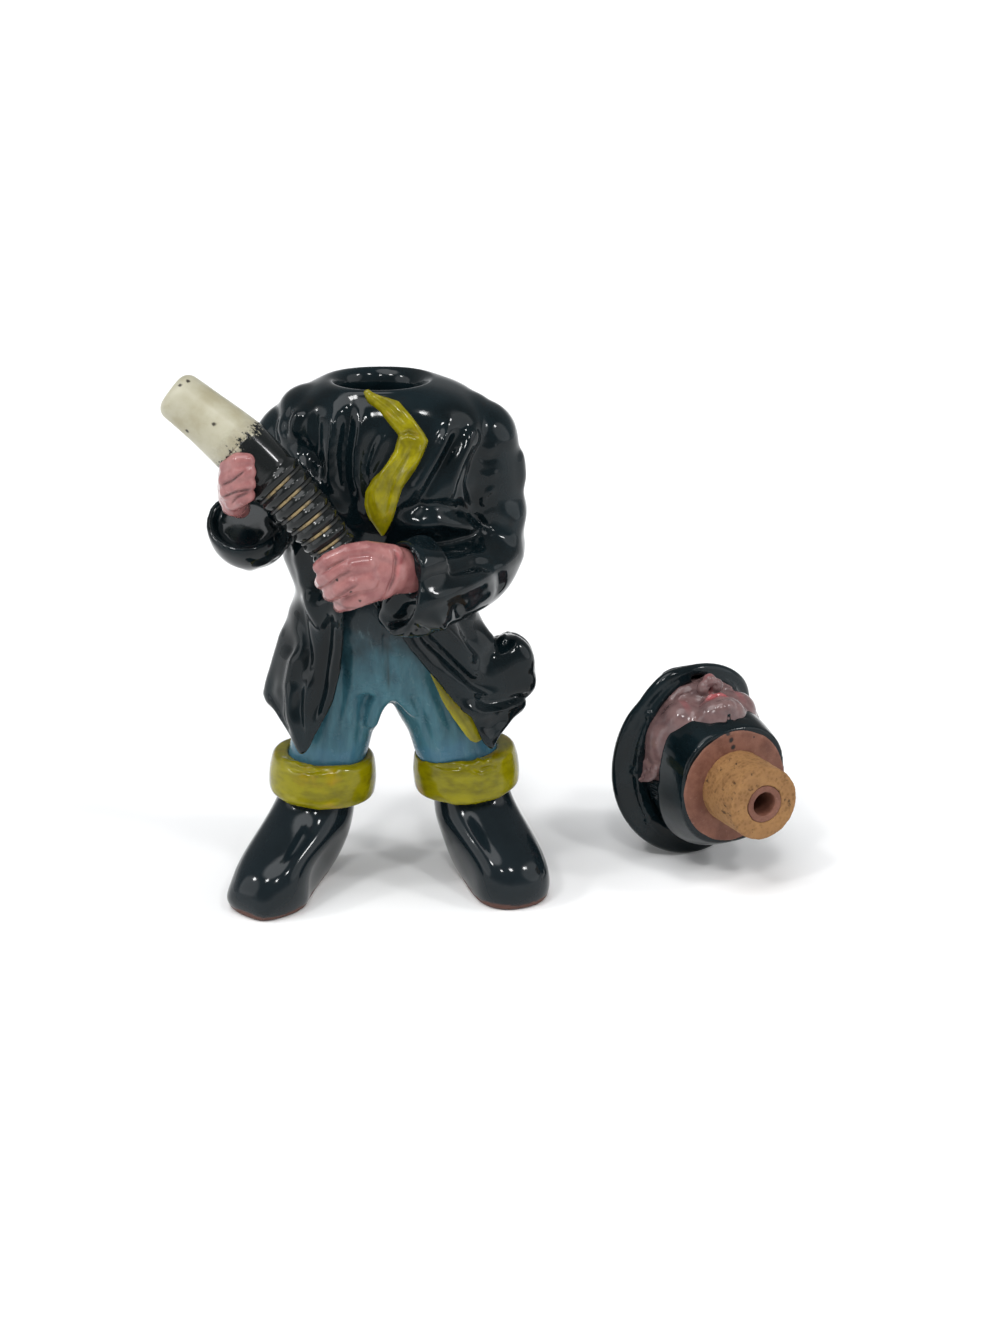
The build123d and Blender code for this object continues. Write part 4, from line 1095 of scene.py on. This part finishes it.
forms = [
    head_blob((0, -5.5, 27), (22.6, 27.0, 22)),
    head_blob((0, -12.0, 15.5), (18.6, 17.0, 12.0)),
    head_blob((0, -22.5, 10.5), (10.5, 8.6, 6.4)),
]
for side in (-1, 1):
    forms += [
        head_blob((side * 16.5, -11.0, 22.5), (7.0, 12.0, 9.0)),
        head_blob((side * 10.8, -20.4, 18.6), (8.6, 8.4, 7.6)),
    ]
skull = joined("skull", forms, 0.8, 22)
forms = [form_of(skull)]
bpy.data.objects.remove(skull)
forms += [head_blob((0, -27.2, 8.4), (5.2, 3.6, 3.8)), head_blob((0, -27.0, 13.0), (6.4, 3.4, 4.4))]
for side in (-1, 1):
    forms += [
        head_blob((side * 3.0, -32.4, 18.3), (2.4, 2.9, 2.2)),
        head_blob((side * 8.2, -28.0, 22.2), (4.0, 2.4, 2.4)),
    ]
    forms += head_chain((side * 3.6, -31.2, 25.0, 1.3), (side * 8.0, -30.2, 25.9, 1.4),
                        (side * 12.6, -27.6, 25.2, 1.2))
forms += head_chain((0, -31.2, 26.2, 1.9), (0, -33.2, 22.2, 2.0), (0, -34.8, 18.9, 2.6))
forms += head_chain((-5.2, -28.6, 13.3, 0.9), (-2.0, -30.0, 14.2, 1.3), (0, -30.1, 13.9, 1.2),
                    (2.0, -30.0, 14.2, 1.3), (5.2, -28.6, 13.3, 0.9))
forms += head_chain((-4.6, -28.5, 12.1, 0.9), (0, -29.8, 11.4, 1.5), (4.6, -28.5, 12.1, 0.9))
for side in (-1, 1):
    forms += head_chain((side * 21.6, -2.4, 19.4, 1.6), (side * 23.2, 0.4, 22.0, 1.6),
                        (side * 24.0, 1.8, 26.2, 1.6), (side * 23.6, 0.0, 29.8, 1.6),
                        (side * 22.6, -3.6, 28.6, 1.4), (side * 22.0, -4.8, 24.6, 1.3))
    forms += [head_blob((side * 21.8, -1.6, 24.6), (2.0, 4.0, 4.8)),
              head_blob((side * 22.0, -3.0, 19.6), (1.9, 2.3, 2.2))]
face = joined("face", forms, 0.5, 5)
MOUTH = [(-5.2, 12.9), (0, 12.8), (5.2, 12.9)]
sculpt(face, [
    # The lids, the line of the mouth and the fold beside the nose, seen from in front of the face
    *[(line, 0.6, -0.7) for line in mirrored([(-12.2, 21.8), (-8.3, 23.4), (-4.6, 22.2)])],
    *[(line, 0.6, -0.5) for line in mirrored([(-11.8, 20.8), (-8.3, 20.2), (-5.0, 21.0)])],
    (MOUTH, 0.7, -0.9),
    *[(line, 1.6, -0.5) for line in mirrored([(-5.2, 17.6), (-7.0, 15.2), (-7.2, 12.6)])],
    ([(0, 16.6), (0, 15.2)], 0.8, -0.4),
    ([(-4.0, 10.0), (0, 9.6), (4.0, 10.0)], 1.1, -0.5),
], own_flat(0, 2), -LYING_Y, 2)
nostrils = [(line, 0.6, -0.8) for line in mirrored([(-1.5, -33.6), (-1.6, -32.6)])]
sculpt(face, nostrils, own_flat(0, 1), -LYING_Z, 1)
for side in (-1, 1):
    sculpt(face, [([(-2.4, 27.0), (0.0, 27.8), (1.0, 25.4), (-0.2, 22.6)], 0.7, -0.9),
                  ([(-2.4, 24.6), (-1.4, 23.4)], 0.8, -0.9)], own_flat(1, 2), side * LYING_X, 1)
mine = own(coords(face))
front = (mine[:, 1] < -20).astype(float)
flat = mine[:, [0, 2]]
ROUGE = [
    ([(-5.4, 13.2), (0, 12.9), (5.4, 13.2)], 1.5, 0.8),
    ([(0, 20), (0, 17.5)], 2.6, 0.3),
    *[(line, 3.2, 0.22) for line in mirrored([(-13, 17), (-10, 17)])],
]
CREASES = [
    (MOUTH, 0.45, 0.8),
    *[(line, 0.5, 0.5) for line in mirrored([(-12.2, 21.9), (-8.3, 23.5), (-4.6, 22.3)])],
    *[(line, 0.8, 0.35) for line in mirrored([(-14, 26.2), (-8, 27.0), (-3, 26.2)])],
]
for mask, lines in (("rouge", ROUGE), ("crease_line_and_shade", CREASES)):
    set_mask(face, mask, front * sum(share * stroke(flat, line, width) for line, width, share in lines))
finished(face, "stopper", "pink_glaze", face_finish, "head", "ears")

# Hair: strands combed back from the ears to the nape
hair = node_union("hair_back", ["hair"], 0.5, 3)
strands = []
for number in range(-7, 8):
    across = number * 2.7
    top, foot = across * 1.05, across * 0.75
    strands.append(([(top, 25.0), (across, 16.0), (foot, 7.0)], 0.55, -0.55))
    strands.append(([(top + 1.3, 25.0), (across + 1.25, 16.0), (foot + 1.0, 7.0)], 0.6, 0.35))
sculpt(hair, strands, own_flat(0, 2), LYING_Y, 0)
combed = [([(1.5 + 2.4 * n, 25.5), (3.0 + 2.3 * n, 16.0), (5.0 + 1.9 * n, 7.0)], 0.5, -0.5) for n in range(7)]
for side in (-1, 1):
    sculpt(hair, combed, own_flat(1, 2), side * LYING_X, 0)
relax(hair, 1, 0.3)
finished(hair, "stopper", "black_glaze", coat_finish, "hair")

# Collar of the coat, with its clasp
collar = node_union("coat_collar", ["collar"], 0.55, 9)
sculpt(collar, [
    *[(line, 1.2, 1.0) for line in mirrored([(-4.6, 10.5), (-2.2, 8.4), (-1.8, 6.0)])],
    ([(0, 9.5), (0, 5.5)], 0.9, -0.8),
    *[(line, 2.0, -0.5) for line in mirrored([(-10.0, 12.0), (-7.0, 8.4), (-6.0, 4.4)])],
], own_flat(0, 2), -LYING_Y, 2)
sculpt(collar, [([(0, 16.0), (0, 9.0), (0, 1.0)], 0.8, -0.8)], own_flat(0, 2), LYING_Y)
finished(collar, "stopper", "black_glaze", coat_finish, "collar")

# Helmet: brim with a rounded rim over a smooth underside
rim = []
for turn in np.linspace(0, 2 * math.pi, 181)[:-1]:
    x, y = 31.2 * math.sin(turn), -math.cos(turn)
    rim.append(head_blob((x, y * (36.2 if y < 0 else 34.2), 28.2 + 4.0 * (x / 33.0) ** 2), 2.2))
underside = head_blob((0, -1.0, 30.0), (24.5, 28.5, 3.4))
helmet = node_union("helmet_shell", ["helmet"], 0.6, 6, rim + [underside])
pull(helmet, [
    ((772, 705), 26, (-4.5, 0, -1.5), -90, 90),
    ((660, 672), 18, (0, 0, 1.5), -90, 90),
    ((628, 694), 12, (1.5, 0, 0), -90, 90),
])
above_table(helmet)
finished(helmet, "stopper", "black_glaze", coat_finish, "helmet")

badge = node_union("badge", ["helmet_shield"], 0.4, 3)
BADGE_EDGE = [(0.0, 30.6), (5.2, 35.0), (7.2, 42.0), (5.6, 45.6), (0.0, 44.6), (-5.6, 45.6), (-7.2, 42.0),
              (-5.2, 35.0), (0.0, 30.6)]
bead = [(x * 0.86, 30.2 + (z - 30.2) * 0.94) for x, z in BADGE_EDGE]
sculpt(badge, [(bead, 0.8, 0.5)], own_flat(0, 2), -LYING_Y)
finished(badge, "stopper", "black_glaze", coat_finish, "helmet_shield")

# Unglazed base disc with its spigot, and the cork pushed on it
FLANGE = [(-0.35, 0.0), (-0.35, 20.4), (0.0, 21.2), (1.2, 21.4), (2.4, 20.8), (2.4, 0.0)]
flange = tube(FLANGE, NECK_FACE, LYING_Z, LYING_X)
disc = node_union("neck_disc", ["neck_base"], 0.4, 3, [flange])
clay_finish = terracotta([
    ([(124.25, -6.21, 57.74), (125.46, -5.70, 54.82), (126.31, -5.38, 51.97)], 1.2),
    ([(134.2, -1.46, 54.32)], 0.7),
])
shift = np.array([roughness_at(point, 6.0, 1.0) for point in coords(disc)])
set_coords(disc, coords(disc) + normals(disc) * (0.22 * shift)[:, None])
finished(disc, "stopper", "terracotta", clay_finish, "neck_base")
cork_ring = node_union("cork_ring", ["cork_sleeve"], 0.4, 2)
shift = np.array([roughness_at(point, 2.4, 3.0) + 0.5 * roughness_at(point, 0.9, 5.0)
                  for point in coords(cork_ring)])
set_coords(cork_ring, coords(cork_ring) + normals(cork_ring) * (0.16 * shift - 0.05)[:, None])
finished(cork_ring, "stopper", "cork", cork_finish, "cork_sleeve")

# Camera, floor and light
lens = bpy.data.cameras.new("camera")
lens.sensor_width = 36.0
lens.lens = FOCAL / IMAGE[1] * lens.sensor_width
lens.clip_start = 0.01
lens.clip_end = 50.0
camera = bpy.data.objects.new("camera", lens)
bpy.context.scene.collection.objects.link(camera)
camera.location = place(EYE)
camera.rotation_euler = Vector(FORWARD).to_track_quat("-Z", "Y").to_euler()
bpy.context.scene.camera = camera
bpy.context.scene.view_settings.view_transform = "Standard"

FLOOR_REACH, FLOOR_DROP = 9.0, 0.0002
corners = [(x * FLOOR_REACH, y * FLOOR_REACH, 0) for x, y in ((-1, -1), (1, -1), (1, 1), (-1, 1))]
floor_mesh = bpy.data.meshes.new("floor")
floor_mesh.from_pydata(corners, [], [(0, 1, 2, 3)])
floor = bpy.data.objects.new("floor", floor_mesh)
bpy.context.scene.collection.objects.link(floor)
floor.location.z = -FLOOR_DROP
pale = Finish("floor_paper", 0.9, specular=0.0)
pale.colour(pale.blend(pale.noise(400.0), (0.93, 0.93, 0.93), (0.95, 0.95, 0.95)))
floor_mesh.materials.append(pale.material)

world = bpy.data.worlds.new("studio")
bpy.context.scene.world = world
world.use_nodes = True
tree = world.node_tree
background = tree.nodes["Background"]
heading = tree.nodes.new("ShaderNodeTexCoord").outputs["Generated"]


def world_patch(direction, inner, outer, level):
    """A soft bright patch round a direction; inner and outer are cosines."""
    dot = tree.nodes.new("ShaderNodeVectorMath")
    dot.operation = "DOT_PRODUCT"
    tree.links.new(heading, dot.inputs[0])
    dot.inputs[1].default_value = unit(direction)
    soft = tree.nodes.new("ShaderNodeMapRange")
    soft.interpolation_type = "SMOOTHSTEP"
    for key, value in (("From Min", outer), ("From Max", inner), ("To Min", 0.0), ("To Max", level)):
        soft.inputs[key].default_value = value
    tree.links.new(dot.outputs["Value"], soft.inputs["Value"])
    return soft.outputs["Result"]


def added(first):
    """A node that adds to a level; what it adds goes into its second input."""
    total = tree.nodes.new("ShaderNodeMath")
    total.operation = "ADD"
    tree.links.new(first, total.inputs[0])
    return total


level = world_patch((0, 0, -1), 0.05, -0.30, 0.62)
for patch in (
    world_patch((-0.2, -0.25, 1.0), 0.965, 0.93, 3.4),
    world_patch((-1.0, -0.35, 0.45), 0.95, 0.90, 1.6),
    world_patch((1.0, -0.20, 0.45), 0.95, 0.90, 1.3),
):
    total = added(level)
    tree.links.new(patch, total.inputs[1])
    level = total.outputs[0]
total = added(level)
total.inputs[1].default_value = 0.30
tree.links.new(total.outputs[0], background.inputs["Strength"])
background.inputs["Color"].default_value = (0.97, 0.985, 1.0, 1.0)

for number, (azimuth, elevation, strength) in enumerate(
    ((-72, 42, 0.42), (-36, 50, 0.46), (0, 46, 0.46), (36, 50, 0.46), (72, 42, 0.42))
):
    lamp = bpy.data.lights.new(f"lamp_{number}", "SUN")
    lamp.energy = strength
    lamp.angle = math.radians(6.0)
    holder = bpy.data.objects.new(f"lamp_{number}", lamp)
    bpy.context.scene.collection.objects.link(holder)
    turn, lift = math.radians(azimuth), math.radians(elevation)
    source = Vector((math.sin(turn) * math.cos(lift), -math.cos(turn) * math.cos(lift), math.sin(lift)))
    holder.rotation_euler = source.to_track_quat("Z", "Y").to_euler()
    holder.location = source * 2
